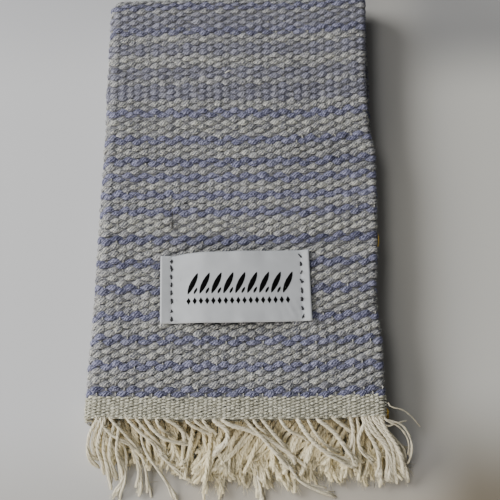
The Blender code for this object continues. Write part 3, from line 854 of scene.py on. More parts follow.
# ------------------------------------------------------------------- fringe
# The strands of the topmost layer, laid one by one: how thick each is, then its
# points (x, y, z) from under the hem to its tip.
LAID = (
    (1.00, ((-44.2, -78.3, 14.2), (-39.4, -83.3, 12.0), (-33.6, -85.6, 8.8), (-31.7, -87.0, 7.5))),
    (0.90, ((-40.0, -78.3, 14.2), (-36.2, -81.8, 12.2), (-32.9, -85.0, 9.1), (-30.5, -87.4, 6.5))),
    (1.00, ((-34.6, -78.3, 14.2), (-30.6, -82.1, 12.4), (-27.2, -84.3, 10.3), (-24.0, -87.9, 7.4), (-23.4, -89.0, 6.5))),
    (0.90, ((-31.7, -78.3, 14.2), (-28.3, -81.8, 12.1), (-25.3, -84.4, 9.3), (-22.5, -87.3, 6.0))),
    (1.10, ((-28.8, -78.3, 14.2), (-26.0, -81.9, 13.0), (-22.8, -84.2, 11.5), (-18.5, -85.1, 9.4), (-14.8, -84.4, 7.5))),
    (0.90, ((-25.2, -78.7, 14.2), (-24.4, -80.4, 13.3), (-22.6, -81.9, 11.4), (-20.2, -82.8, 9.0))),
    (1.10, ((-22.5, -78.3, 14.2), (-18.9, -79.9, 12.6), (-16.6, -81.8, 10.6), (-15.7, -84.3, 8.5))),
    (0.90, ((-15.6, -79.2, 14.2), (-12.7, -81.0, 12.9), (-8.6, -82.1, 10.4), (-6.7, -82.8, 9.0))),
    (0.90, ((-13.0, -79.0, 14.2), (-10.4, -80.6, 12.8), (-7.0, -81.7, 10.0))),
    (0.90, ((-10.3, -79.0, 14.2), (-8.5, -80.9, 12.6), (-6.1, -82.0, 10.0))),
    (1.35, ((-6.7, -79.2, 14.2), (-3.1, -81.0, 13.0), (-2.2, -83.3, 11.9), (-3.1, -85.3, 10.7), (-6.7, -88.3, 8.0), (-8.0, -89.1, 7.0))),
    (1.30, ((-4.4, -78.7, 14.2), (-1.2, -80.5, 13.6), (3.2, -81.2, 12.6), (9.3, -83.4, 10.6), (13.1, -85.6, 9.0), (17.0, -87.9, 7.3), (18.8, -90.5, 6.0))),
    (1.10, ((4.5, -80.2, 12.5), (8.3, -83.5, 11.4), (10.2, -85.6, 10.4), (13.3, -88.7, 8.6), (16.3, -91.9, 6.6), (19.2, -93.5, 5.0))),
    (0.80, ((2.3, -77.4, 14.2), (4.2, -79.7, 12.0))),
    (1.00, ((5.8, -79.0, 14.2), (7.4, -80.8, 12.9), (10.9, -82.2, 9.5))),
    (1.10, ((8.0, -78.0, 14.2), (10.5, -80.9, 12.8), (13.4, -83.7, 10.5), (17.0, -87.2, 7.0))),
    (1.00, ((14.3, -79.0, 14.2), (16.9, -81.9, 12.7), (20.8, -83.0, 10.4), (23.4, -83.9, 8.5))),
    (1.35, ((19.7, -78.7, 14.2), (21.6, -81.7, 13.5), (24.5, -85.2, 12.0), (29.0, -88.3, 9.8), (33.2, -90.0, 7.7), (37.7, -90.9, 5.5))),
    (0.90, ((23.2, -79.3, 14.2), (25.6, -83.1, 12.5), (29.7, -86.7, 9.4), (33.4, -87.4, 7.0))),
    (1.25, ((26.1, -78.7, 14.2), (29.6, -80.7, 13.1), (32.8, -83.5, 11.3), (35.1, -86.7, 9.4), (37.8, -89.4, 7.2), (39.1, -90.8, 6.0))),
    (1.10, ((30.9, -78.0, 14.2), (35.2, -80.4, 11.5), (37.2, -81.6, 9.5))),
    (1.10, ((36.3, -77.7, 14.2), (37.4, -80.9, 12.7), (37.4, -84.8, 9.9), (36.4, -87.4, 7.5))),
    (1.00, ((41.3, -78.7, 14.2), (39.7, -81.9, 13.0), (38.8, -84.5, 11.5), (39.9, -87.8, 9.4), (42.2, -89.5, 7.4), (44.6, -90.8, 5.5))),
    (0.80, ((38.5, -78.3, 14.2), (39.2, -80.9, 12.5), (38.8, -83.5, 9.5))),
    (1.25, ((40.4, -78.0, 14.2), (41.6, -81.9, 12.9), (45.0, -86.4, 10.0), (46.0, -90.1, 7.5), (46.0, -96.1, 3.0))),
    (1.30, ((41.4, -78.0, 14.2), (42.9, -81.9, 12.9), (47.5, -85.2, 10.2), (48.9, -88.9, 7.9), (48.9, -95.8, 3.0))),
    (1.20, ((42.3, -78.0, 14.2), (43.9, -81.3, 13.1), (48.5, -85.8, 9.8), (49.7, -90.6, 6.5), (49.9, -96.0, 2.4))),
    (1.25, ((43.6, -78.0, 14.2), (45.5, -80.7, 13.2), (49.8, -85.2, 10.0), (50.8, -91.1, 5.8), (50.9, -95.4, 2.4))),
    (1.20, ((44.5, -78.0, 14.2), (46.4, -81.0, 13.0), (50.8, -85.4, 9.5), (52.3, -89.3, 6.5), (52.6, -94.4, 2.2))),
    (0.70, ((46.4, -78.0, 14.2), (48.1, -81.8, 12.5), (52.0, -84.7, 9.3), (54.7, -87.3, 6.5), (54.9, -90.7, 3.2))),
    (1.15, ((45.8, -78.0, 14.2), (47.7, -81.6, 12.9), (51.7, -86.1, 9.6), (53.5, -90.6, 6.2), (55.2, -95.6, 2.0))),
    (0.60, ((47.7, -78.7, 14.2), (53.1, -79.3, 12.5), (56.3, -84.1, 9.5), (56.1, -88.6, 6.6), (54.9, -90.4, 5.0))),
    (0.50, ((47.7, -79.0, 14.2), (52.3, -80.2, 12.2), (55.5, -84.0, 8.8), (55.5, -88.1, 5.0))),
    (0.45, ((45.2, -78.2, 14.2), (48.0, -80.7, 13.4), (50.4, -79.6, 12.7), (53.8, -78.1, 11.5))),
    (0.40, ((49.3, -74.5, 14.2), (53.4, -74.8, 12.5), (56.4, -76.5, 10.2), (58.2, -78.4, 8.0))),
    (1.00, ((-44.1, -78.7, 14.2), (-46.4, -82.1, 12.3), (-47.5, -86.0, 9.3), (-46.9, -89.3, 6.2), (-44.3, -90.1, 3.5))),
    (1.00, ((-43.1, -79.0, 14.2), (-45.2, -82.6, 11.7), (-46.2, -86.4, 7.8), (-44.9, -88.7, 4.5))),
    (1.10, ((-41.8, -79.0, 14.2), (-43.5, -83.3, 12.1), (-44.3, -87.3, 9.2), (-42.7, -90.5, 6.0), (-41.9, -93.5, 3.0))),
    (1.00, ((-41.1, -79.6, 12.5), (-42.3, -84.4, 10.8), (-42.1, -89.0, 8.1), (-40.7, -93.2, 5.1), (-40.6, -97.2, 2.0))),
    (1.00, ((-39.1, -81.5, 12.5), (-40.4, -86.2, 10.2), (-40.3, -90.6, 6.6), (-38.4, -95.0, 2.0))),
    (1.00, ((-37.4, -82.8, 12.5), (-38.1, -88.0, 9.8), (-36.8, -92.4, 6.0), (-36.8, -96.6, 2.0))),
    (1.00, ((-41.9, -82.6, 8.0), (-37.9, -87.5, 6.7), (-35.7, -91.6, 5.1), (-36.0, -95.5, 3.6), (-38.6, -100.4, 1.2))),
    (0.70, ((-38.1, -81.3, 8.0), (-35.4, -86.2, 6.9), (-35.0, -92.9, 4.7), (-36.9, -97.0, 3.0), (-39.6, -100.9, 1.0))),
    (1.10, ((-36.1, -81.9, 8.0), (-32.8, -86.8, 6.7), (-31.2, -90.4, 5.3), (-30.9, -97.9, 2.1), (-31.6, -99.6, 1.2))),
    (0.90, ((-32.8, -83.2, 8.0), (-30.2, -88.4, 6.3), (-29.3, -91.2, 5.1), (-28.7, -95.7, 2.7), (-28.7, -98.4, 1.2))),
    (0.80, ((-30.1, -85.8, 8.0), (-26.9, -90.6, 6.5), (-23.7, -94.4, 4.6), (-21.8, -97.2, 3.1), (-19.6, -100.8, 0.9))),
    (0.90, ((-26.9, -85.1, 8.0), (-22.8, -90.0, 6.4), (-20.2, -92.0, 5.2), (-16.7, -94.8, 3.2), (-13.3, -97.1, 1.2))),
    (1.10, ((4.5, -85.8, 3.4), (6.4, -91.8, 3.0), (7.4, -95.6, 2.3), (8.0, -98.9, 1.5), (8.7, -101.8, 0.8))),
    (0.70, ((3.2, -86.4, 3.4), (5.8, -93.0, 2.7), (6.7, -97.1, 1.8), (7.7, -101.5, 0.8))),
    (0.75, ((11.6, -85.1, 8.0), (15.4, -89.4, 7.0), (17.3, -92.1, 6.2), (19.8, -96.0, 4.9), (23.7, -98.0, 3.5), (31.2, -99.9, 0.8))),
)
# The other layers' strands lie as combed: x, then the way they head there (0 is
# straight off the hem, positive to the right, in degrees).
HEADINGS = {
    "tucked": ((-48, 8), (-30, 16), (-10, 10), (2, -38), (34, -42), (42, 12), (49, 24)),
    "inner": ((-48, 8), (-30, -4), (-14, -26), (8, -36), (32, -30), (42, 10), (49, 22)),
    "lower_inner": ((-48, 6), (-20, 8), (10, -6), (30, 10), (49, 16)),
    "lower_tucked": ((-48, 4), (-24, -2), (2, 8), (26, -8), (49, 14)),
    "lower_front": ((-48, 5), (-10, 4), (16, -2), (49, 8)),
}
# layer            z at the hem   z at the tip   length   which comb
COMBED = (
    ("tucked", 11.4, 5.0, 17.0, "fringe_front"),
    ("inner", 8.8, 3.9, 16.5, "fringe_front"),
    ("lower_inner", 6.4, 2.7, 17.0, "fringe_back"),
    ("lower_tucked", 3.9, 1.6, 16.5, "fringe_back"),
    ("lower_front", 1.3, 0.55, 16.0, "fringe_back"),
)


def smooth_path(points, count):
    """The points as an even, rounded line of count places."""
    line = np.asarray(points, float)
    for _ in range(3):
        cut = np.concatenate([0.75 * line[:-1] + 0.25 * line[1:], 0.25 * line[:-1] + 0.75 * line[1:]], 1).reshape(-1, 3)
        line = np.concatenate([line[:1], cut, line[-1:]])
    far = np.concatenate([[0], np.cumsum(np.linalg.norm(np.diff(line, axis=0), axis=1))])
    at = np.linspace(0, far[-1], count)
    return np.stack([np.interp(at, far, line[:, i]) for i in range(3)], -1), far[-1]


def frames(path):
    """Two unit vectors across the path at each of its places. path is (..., places, 3)."""
    t = np.gradient(path, axis=-2)
    t /= np.linalg.norm(t, axis=-1, keepdims=True)
    up = np.broadcast_to([0.05, 0.1, 1.0], t.shape)
    side = np.cross(t, up)
    side /= np.linalg.norm(side, axis=-1, keepdims=True)
    return side, np.cross(side, t)


def yarns(paths, lengths, thick, rng, plies, places, sides, open_tip=1.0):
    """Each path as plies that wind round it, loosening towards the tip. Returns (rings, along)."""
    paths = np.asarray(paths)
    n = len(paths)
    side, up = frames(paths)
    s = np.linspace(0, 1, places)
    thick, lengths = np.asarray(thick)[:, None], np.asarray(lengths)[:, None]
    loose = np.clip((s - 0.55) / 0.45, 0, 1) ** 1.5
    hub = 0.24 * thick * (1 + (0.5 * open_tip + 0.3 * rng.normal(size=(n, 1))) * loose[None, :])
    fan = 0.34 * open_tip * (1 + 0.4 * rng.normal(size=(n, 1)))
    wide = 0.32 * thick * (1 + 0.45 * open_tip * loose[None, :]) * (1 + 0.08 * rng.normal(size=(n, places)))
    tall = 0.31 * thick * (1 - 0.40 * loose[None, :]) * np.ones((n, places))
    for size in (wide, tall):
        size[:, -1] *= 0.75
        size[:, 0] *= 0.7
    theta = 2 * np.pi * np.arange(sides) / sides
    rings, along = [], []
    first = 6.28 * rng.random((n, 1))
    wind = lengths * (2 * np.pi / 5.2)
    for ply in range(plies):
        turn = first + 2 * np.pi * ply / plies + wind * s[None, :] * (1 - 0.5 * loose[None, :])
        off = (hub * (1 - 0.6 * loose[None, :]))[..., None] * (np.cos(turn)[..., None] * side + np.sin(turn)[..., None] * up)
        # Past the twist the plies lie side by side and fan out like a brush.
        off = off + ((ply - (plies - 1) / 2) * fan * thick * loose[None, :])[..., None] * side
        own = 0.045 * rng.normal(size=(n, places, 3)).cumsum(1) * loose[None, :, None]
        centre = paths + off + own
        # A ply that is shorter or longer than the others.
        reach_ = (1 + 0.07 * rng.normal(size=(n, 1, 1)) * s[None, :, None] ** 3)
        centre = paths[:, :1] + (centre - paths[:, :1]) * reach_
        ring = centre[:, :, None, :] + (
            (wide[:, :, None] * np.cos(theta))[..., None] * side[:, :, None, :]
            - (tall[:, :, None] * np.sin(theta))[..., None] * up[:, :, None, :]
        )
        ring[..., 2] = np.maximum(ring[..., 2], 0.04)
        rings.append(ring)
        along.append(lengths * s[None, :] + 3.1 * ply)
    return np.concatenate(rings), np.concatenate([np.broadcast_to(a - a[:, :1], (n, places)) for a in along])


def wisps(paths, thick, rng, each, long=2.6, thin=0.075):
    """Loose fibres that fan out of each tip."""
    n = len(paths)
    tip, before = paths[:, -1], paths[:, -4]
    way = tip - before
    way /= np.linalg.norm(way, axis=-1, keepdims=True)
    root = np.repeat(tip - 2.2 * way, each, axis=0)
    way = np.repeat(way, each, axis=0)
    root = root + 0.22 * np.repeat(thick, each)[:, None] * rng.normal(size=root.shape)
    fan = way + rng.normal(size=way.shape) * [0.30, 0.30, 0.16]
    fan /= np.linalg.norm(fan, axis=-1, keepdims=True)
    bend = rng.normal(size=way.shape) * [0.5, 0.5, 0.15] - [0, 0, 0.25]
    s = np.linspace(0, 1, 6)[None, :, None]
    length = (long * (0.65 + 0.7 * rng.random((n * each, 1, 1))))
    line = root[:, None] + length * (s * fan[:, None] + 0.30 * s * s * bend[:, None])
    side, up = frames(line)
    theta = 2 * np.pi * np.arange(3) / 3
    radius = thin * (1 - 0.6 * s[..., 0]) * (0.7 + 0.9 * rng.random((n * each, 1)))
    ring = line[:, :, None, :] + radius[:, :, None, None] * (
        np.cos(theta)[None, None, :, None] * side[:, :, None, :] - np.sin(theta)[None, None, :, None] * up[:, :, None, :]
    )
    ring[..., 2] = np.maximum(ring[..., 2], 0.03)
    return ring


def combed(rng, layer, z0, z1, length):
    """One layer's strands, spaced as its warps are."""
    lower = layer.startswith("lower")
    heading = np.asarray(HEADINGS[layer], float)
    x0 = np.arange(-46.0, 46.5, WARP / 2)
    x0 = x0 + 0.35 * rng.normal(size=len(x0))
    # Some of the left ones are broken off short or gone.
    x0 = x0[(x0 > -12) | (rng.random(len(x0)) > (0.38 if lower else 0.1))]
    if layer == "tucked":
        x0 = x0[x0 > -42.5]
    paths, lengths = [], []
    pull = 0.0
    for x in x0:
        pull = 0.7 * pull + 4.5 * rng.normal()
        angle = math.radians(np.interp(x, heading[:, 0], heading[:, 1]) + pull)
        curl = math.radians(22 * rng.normal())
        if x < -36:
            angle, curl = max(angle, -0.06), max(curl, -0.15)
        long = length * (1 + 0.10 * rng.normal()) * (1 - 0.10 * abs(math.sin(angle))) * np.interp(x, (-46, -20, -12, -8, 8, 14), (0.70, 0.80, 0.95, 1.16, 1.14, 1.02))
        y = read(ENDS, END["lower_near" if lower else "near"], x) + 1.6
        line = [(x, y, z0)]
        steps = 8
        for i in range(steps):
            share = (i + 1) / steps
            angle += curl / steps
            drop = z0 + (z1 * (0.8 + 0.4 * rng.random()) - z0) * min(1.0, share * 1.15) ** 1.25
            px, py, _ = line[-1]
            line.append((px + math.sin(angle) * long / steps, py - math.cos(angle) * long / steps, max(drop, 0.45)))
        path, far = smooth_path(line, 14)
        paths.append(path)
        lengths.append(far)
    return np.array(paths), np.array(lengths)


def fringe():
    rng = noise(61)
    made = {"fringe_front": [], "fringe_back": []}
    # The laid ones: near the hem they come out from under it.
    paths, lengths, thick = [], [], []
    for size, points in LAID:
        points = np.asarray(points, float)
        if points[0, 1] > -79.6 and points[0, 2] > 13:
            root = points[0] + [0.15 * (points[0, 0] - points[1, 0]), 1.5, -0.3]
            points = np.concatenate([[root], points])
        elif points[0, 2] > 7 and points[0, 1] < -79.3:
            # It comes out from under the strands beside it.
            root = [points[0, 0] + 0.25 * (points[0, 0] - points[1, 0]), -78.6, points[0, 2] + (2.2 if points[0, 2] < 9 else -0.4)]
            points = np.concatenate([[root], points])
        path, far = smooth_path(points, 22)
        paths.append(path)
        lengths.append(far)
        thick.append(1.15 * size)
    paths, thick = np.array(paths), np.array(thick)
    big = thick > 0.75
    for group, plies, sides in ((big, 3, 6), (~big, 2, 5)):
        ring, along = yarns(paths[group], np.array(lengths)[group], thick[group], rng, plies, 22, sides)
        tone = np.full((len(ring), 1), 0.22) + 0.06 * rng.normal(size=(len(ring), 1))
        made["fringe_front"].append(tubes("laid", ring, along=along, tone=tone, tint=0.0))
    ring = wisps(paths[big], thick[big], rng, 16, 2.6, 0.085)
    made["fringe_front"].append(tubes("laid_wisps", ring, tone=0.22, tint=0.0))
    for layer, z0, z1, length, node in COMBED:
        paths, lengths = combed(rng, layer, z0, z1, length)
        thick = 1.35 + 0.35 * rng.random(len(paths))
        ring, along = yarns(paths, lengths, thick, rng, 3, 14, 5)
        deep = {"tucked": 0.30, "inner": 0.42}.get(layer, 0.40)
        warm = np.tile(deep + 0.30 * rng.random(len(paths)), 3)[:, None]
        # Painted shade: darker close to the hem, where the layers above shade it, and lighter towards the tips.
        share = np.linspace(0, 1, ring.shape[1])[None, :]
        tone = 0.06 + 0.50 * share + 0.06 * rng.normal(size=(len(ring), 1)) - 1.25 * np.clip(1 - share / 0.50, 0, 1)
        made[node].append(tubes(layer, ring, along=along, tone=tone, tint=warm))
        ring = wisps(paths, thick, rng, *((12, 3.6, 0.085) if node == "fringe_back" else (8, 3.1, 0.10)))
        made[node].append(tubes(f"{layer}_wisps", ring, tone=0.45, tint=deep))
    for node, parts in made.items():
        piece = dress(join(f"{node}_strands", parts), STRAND_COTTON)
        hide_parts(node)
        pieces.append(piece)


fringe()


# --------------------------------------------------------------------- label
def label_place(u, v):
    """A point of the label's middle: u and v in mm from its centre, along and across it. Valleys at both seams."""
    u, v = np.broadcast_arrays(np.asarray(u, float), np.asarray(v, float))
    left, right = -21.3, 22.0
    inside = np.clip((u - left) / (right - left), 0, 1)
    # Between the seams it arches, steeper at the left one.
    ease = np.clip(inside / 0.26, 0, 1)
    bulge = 3.4 * inside * (1 - inside) * (1 + 0.7 * (1 - inside)) + 1.0 * (ease * ease * (3 - 2 * ease) - inside)
    tabs = 0.17 * np.clip(left - u, 0, 9) + 0.16 * np.clip(u - right, 0, 9)
    edge = 0.13 * np.sin(u / 3.3 + 0.4) + 0.10 * np.sin(u / 1.9) + 0.05 * np.sin(u / 0.9)
    wave = edge * np.abs(v / 12.4) ** 3 + 0.10 * np.sin(u / 7.0 + v / 9.0) * np.sin(np.pi * inside)
    # Small puckers where it is held down at the right seam's lower end.
    pucker = np.exp(-(((u - 18.5) / 3.2) ** 2) - ((v + 8.5) / 4.0) ** 2)
    wave = wave + 0.07 * pucker * np.sin(u * 2.3 + v * 1.1)
    turn = LABEL_TURN
    # The outline: drawn in at the left seam's upper end, bowed out below.
    seam_in = np.where(u < left, -1.0, -1.5 * np.exp(-inside / 0.11))
    upper_edge = seam_in - 0.45 * np.sin(np.pi * inside)
    lower_edge = -0.50 * np.sin(np.pi * inside) - 0.2 * inside
    share = np.clip((v / 12.4 + 1) / 2, 0, 1)
    vv = v + upper_edge * share ** 2 + lower_edge * (1 - share)
    x = LABEL_CENTRE[0] + u * math.cos(turn) - vv * math.sin(turn)
    y = LABEL_CENTRE[1] + u * math.sin(turn) + vv * math.cos(turn)
    floor = THICK / 2
    z = floor + (STACK - THICK) * crown(x, y)
    z = z + THICK / 2 + 0.22 + bulge + tabs + np.maximum(wave, -0.1)
    return np.stack([x, y, z], -1)


def ribbon():
    """The label: a woven ribbon, sewn down along two lines, standing up a little outside them."""
    half_x, half_y, thick = LABEL_SIZE[0] / 2, LABEL_SIZE[1] / 2, 0.16
    u = np.unique(np.concatenate([np.linspace(-half_x, half_x, 76), np.linspace(-22.1, -20.3, 7), np.linspace(21.0, 22.9, 7)]))
    v = np.linspace(-half_y, half_y, 31)
    uu, vv = np.meshgrid(u, v)
    # The seams pull the cloth down in small dimples.
    middle = label_place(uu, vv)
    for seam in (-21.3, 22.0):
        near = np.exp(-(((uu - seam) / 0.7) ** 2))
        middle[..., 2] += near * (0.08 * np.cos(vv * 2 * np.pi / 3.05) - 0.05)
    top, under = middle + [0, 0, thick / 2], middle - [0, 0, thick / 2]
    count = uu.size
    index = np.arange(count).reshape(uu.shape)
    quad = lambda i00, i10, i11, i01: np.stack([i00, i10, i11, i01], -1).reshape(-1, 4)
    face = quad(index[:-1, :-1], index[:-1, 1:], index[1:, 1:], index[1:, :-1])
    back = face[:, ::-1] + count
    walls = []
    for line in (index[0], index[-1][::-1], index[:, 0][::-1], index[:, -1]):
        walls.append(np.stack([line[:-1], line[:-1] + count, line[1:] + count, line[1:]], -1))
    quads = np.concatenate([face, back, *walls])
    both_u, both_v = np.tile(uu.ravel(), 2), np.tile(vv.ravel(), 2)
    uv = np.stack([both_u / 10, both_v / 10], -1)[quads.ravel()]
    bake = np.stack([(both_u / half_x + 1) / 2, (both_v / half_y + 1) / 2], -1)[quads.ravel()].reshape(-1, 4, 2)
    under_side = (np.arange(len(quads)) >= len(face)) & (np.arange(len(quads)) < 2 * len(face))
    bake = bake * [1.0, 0.49] + under_side[:, None, None] * [0.0, 0.505]
    obj = mesh_of("label_ribbon", np.concatenate([top, under]), quads, (), uv, bake.reshape(-1, 2))
    made = bpy.data.materials.new("ribbon")
    made.use_nodes = True
    tree = made.node_tree
    shader = tree.nodes["Principled BSDF"]
    socket(shader, {"Roughness": 0.62, "Sheen Weight": 0.15, "Specular IOR Level": 0.35})
    uv_node = tree.nodes.new("ShaderNodeUVMap")
    uv_node.uv_map = "yarn"
    split = tree.nodes.new("ShaderNodeSeparateXYZ")
    tree.links.new(uv_node.outputs[0], split.inputs[0])
    ribs = math_node(tree, "SINE", math_node(tree, "MULTIPLY", split.outputs[0], 2 * math.pi * 22))
    threads = math_node(tree, "SINE", math_node(tree, "MULTIPLY", split.outputs[1], 2 * math.pi * 26))
    weave = math_node(tree, "MULTIPLY", ribs, threads)
    cloud = tree.nodes.new("ShaderNodeTexNoise")
    cloud.inputs["Scale"].default_value = 1.6
    cloud.inputs["Detail"].default_value = 5.0
    tree.links.new(uv_node.outputs[0], cloud.inputs["Vector"])
    fac = math_node(tree, "ADD", math_node(tree, "MULTIPLY", weave, 0.12), cloud.outputs[0])
    colour = tree.nodes.new("ShaderNodeMix")
    colour.data_type = "RGBA"
    colour.inputs["A"].default_value = (0.405, 0.42, 0.44, 1)
    colour.inputs["B"].default_value = (0.545, 0.565, 0.59, 1)
    tree.links.new(fac, colour.inputs["Factor"])
    tree.links.new(colour.outputs["Result"], shader.inputs["Base Color"])
    relief = tree.nodes.new("ShaderNodeBump")
    relief.inputs["Strength"].default_value = 0.25
    relief.inputs["Distance"].default_value = 0.00008
    tree.links.new(weave, relief.inputs["Height"])
    tree.links.new(relief.outputs[0], shader.inputs["Normal"])
    obj.data.materials.append(made)
    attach(obj, "root")
    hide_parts("label")
    return obj


def plain_material(name, colour, rough=0.8, shine=0.2):
    made = bpy.data.materials.new(name)
    made.use_nodes = True
    socket(made.node_tree.nodes["Principled BSDF"], {"Base Color": (*colour, 1), "Roughness": rough, "Specular IOR Level": shine})
    return made


def seams():
    """Eight short dark stitches down each side of the label."""
    rng = noise(71)
    rings = []
    for u in (-21.3, 22.0):
        for i in range(8):
            v = 10.6 - i * 3.05 + 0.18 * rng.normal()
            # Each shows as a short mark and, at some, the loop of the thread below.
            for part in range(1 + (rng.random() < 0.7)):
                s = np.linspace(-1, 1, 7)
                long = (1.02, 0.5)[part] * (1 + 0.22 * rng.normal())
                lean = 0.30 * rng.normal() + (0.0, 0.8)[part]
                mid_u, mid_v = u + 0.10 * rng.normal(), v - 0.35 * part
                at = label_place(mid_u + long * math.sin(lean) * s, mid_v + long * math.cos(lean) * s)
                at[:, 2] += 0.16 - 0.26 * np.abs(s) ** 3
                theta = 2 * np.pi * np.arange(6) / 6
                radius = (0.285 + 0.04 * rng.normal()) * (1 - 0.5 * np.abs(s) ** 3) * (1 + 0.25 * rng.normal(size=7))
                across = np.array([math.cos(lean), -math.sin(lean), 0.0])
                ring = at[:, None, :] + radius[:, None, None] * (
                    np.cos(theta)[None, :, None] * across + np.sin(theta)[None, :, None] * np.array([0.0, 0.0, 1.0])
                )
                rings.append(ring)
    obj = tubes("label_stitches", np.array(rings)[:, :, ::-1])
    obj.data.materials.append(plain_material("stitch_thread", (0.03, 0.03, 0.034)))
    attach(obj, "root")


def motif():
    """A printed border: leaning leaves over a row of small diamonds."""
    shapes = []
    lean = math.tan(math.radians(24))

    def leaf(u, v, wide, tall, points=14):
        t = 2 * np.pi * np.arange(points) / points
        dv = tall / 2 * np.cos(t)
        du = wide / 2 * np.sin(t) * (0.35 + 0.65 * np.abs(np.sin(t)))
        shapes.append(np.stack([u + du + dv * lean, v + dv], -1))

    for i in range(9):
        u = -14.2 + i * 3.95
        leaf(u, 1.15, 2.0, 7.4)
        if i < 8:
            leaf(u + 0.92, -1.45, 0.95, 2.2, 10)
    for i in range(17):
        u = -15.6 + i * 2.05
        shapes.append(np.array([(u - 0.72, -4.95), (u, -6.2), (u + 0.72, -4.95), (u, -3.7)]))
    points, faces, at = [], [], 0
    for shape in shapes:
        place = label_place(shape[:, 0] * 1.0, shape[:, 1] * 1.0)
        for lift in (0.125, 0.075):
            points.append(place + [0, 0, lift])
        n = len(shape)
        front = list(range(at, at + n))
        area = np.sum(shape[:, 0] * np.roll(shape[:, 1], -1) - np.roll(shape[:, 0], -1) * shape[:, 1])
        if area < 0:
            front = front[::-1]
        faces.append(front)
        faces.append([i + n for i in front[::-1]])
        for i in range(n):
            j = (i + 1) % n
            faces.append([front[i], front[i] + n, front[j] + n, front[j]])
        at += 2 * n
    mesh = bpy.data.meshes.new("label_print")
    mesh.from_pydata([tuple(p) for p in (np.concatenate(points) + SHIFT) * MM], [], faces)
    obj = bpy.data.objects.new("label_print", mesh)
    bpy.context.scene.collection.objects.link(obj)
    mesh.materials.append(plain_material("print_black", (0.004, 0.004, 0.004), 0.9, 0.02))
    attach(obj, "root")


ribbon()
seams()
motif()


# ------------------------------------------------------------- loose threads
def loose_threads():
    """Bits of ochre sewing thread under the right edge, a pale slub and a dark speck on the front."""
    bits = (
        # colour, half thickness, points
        ("ochre_thread", (0.55, 0.36, 0.07), 0.42, ((46.9, -77.4, 11.9), (48.5, -76.6, 12.5), (48.8, -75.0, 12.3), (47.2, -73.8, 11.9))),
        ("ochre_thread", (0.55, 0.36, 0.07), 0.30, ((46.9, -78.4, 10.7), (48.7, -77.8, 11.1), (49.0, -76.0, 10.9), (47.2, -74.6, 10.7))),
        ("ochre_thread", (0.55, 0.36, 0.07), 0.26, ((46.6, -20.0, 12.4), (48.2, -19.2, 13.0), (48.5, -16.6, 12.9), (48.5, -14.2, 13.2), (46.9, -13.0, 12.6))),
        ("slub_thread", (0.62, 0.61, 0.56), 0.30, ((-4.6, 48.1, 15.45), (-3.9, 48.6, 15.85), (-3.1, 48.9, 15.9), (-2.3, 49.4, 15.45))),
        ("speck_thread", (0.05, 0.045, 0.04), 0.20, ((-18.3, -3.9, 15.35), (-17.9, -3.6, 15.65), (-17.5, -3.5, 15.35))),
        ("speck_thread", (0.05, 0.045, 0.04), 0.17, ((-22.2, -6.6, 15.3), (-22.1, -7.8, 15.65), (-22.2, -9.4, 15.3))),
        ("speck_thread", (0.05, 0.045, 0.04), 0.17, ((-22.1, -10.8, 15.3), (-22.2, -12.1, 15.65), (-22.1, -13.4, 15.3))),
    )
    named = {}
    for name, colour, radius, points in bits:
        path, far = smooth_path(points, 9)
        side, up = frames(path[None])
        theta = 2 * np.pi * np.arange(6) / 6
        size = radius * np.sin(np.pi * np.linspace(0.12, 0.88, 9)) ** 0.5
        ring = path[:, None, :] + size[:, None, None] * (
            np.cos(theta)[None, :, None] * side[0][:, None, :] - np.sin(theta)[None, :, None] * up[0][:, None, :]
        )
        named.setdefault(name, (colour, []))[1].append(ring)
    for name, (colour, rings) in named.items():
        obj = tubes(name, np.array(rings))
        obj.data.materials.append(plain_material(name, colour, 0.9))
        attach(obj, "root")


def fuzz():
    """Fine fibres that stand off the picks, most of them lying low."""
    rng = noise(83)
    count = 2400
    a = FIRST_WARP + 1 + rng.random(count) * (WARPS_SHOWN - 2) * WARP
    b = rng.random(count) * 330.0
    x, _ = section(a, np.zeros(count), np.zeros(count))
    b = np.minimum(b, reach(x)[1] - 1)
    p, ta, tb, n = surface(a, b)
    root = p + 0.98 * n
    heading = rng.random(count) * 2 * np.pi
    way = np.cos(heading)[:, None] * ta + np.sin(heading)[:, None] * tb + (0.25 + 0.5 * rng.random(count))[:, None] * n
    curl = rng.normal(size=(count, 3)) * 0.5
    s = np.linspace(0, 1, 5)[None, :, None]
    length = (0.8 + 1.4 * rng.random(count))[:, None, None]
    line = root[:, None] + length * (s * way[:, None] + 0.55 * s * s * (curl[:, None] - 0.5 * n[:, None]))
    side, up = frames(line)
    theta = 2 * np.pi * np.arange(3) / 3
    radius = 0.055 * (1 - 0.5 * s[..., 0]) * np.ones((count, 1))
    ring = line[:, :, None, :] + radius[:, :, None, None] * (
        np.cos(theta)[None, None, :, None] * side[:, :, None, :] - np.sin(theta)[None, None, :, None] * up[:, :, None, :]
    )
    low = ring[..., 2].min(axis=(1, 2)) > 0.05
    return dress(tubes("fuzz", ring[low], tone=0.4), CREAM)


loose_threads()
pieces.append(fuzz())


# ------------------------------------------------------- camera, light, floor
def camera():
    """Looks down along +Y from the fringed end, 68 degrees above the surface."""
    elevation, distance = math.radians(68.4), 328.7
    aim = np.array([4.5, -21.1, 15.4]) + SHIFT
    forward = np.array([0.0, math.cos(elevation), -math.sin(elevation)])
    place = (aim - forward * distance) * MM
    data = bpy.data.cameras.new("camera")
    data.lens, data.sensor_width = 70.0, 36.0
    data.clip_start, data.clip_end = 0.01, 20.0
    made = bpy.data.objects.new("camera", data)
    made.location = place
    made.rotation_euler = (math.pi / 2 - elevation, 0.0, 0.0)
    bpy.context.scene.collection.objects.link(made)
    bpy.context.scene.camera = made


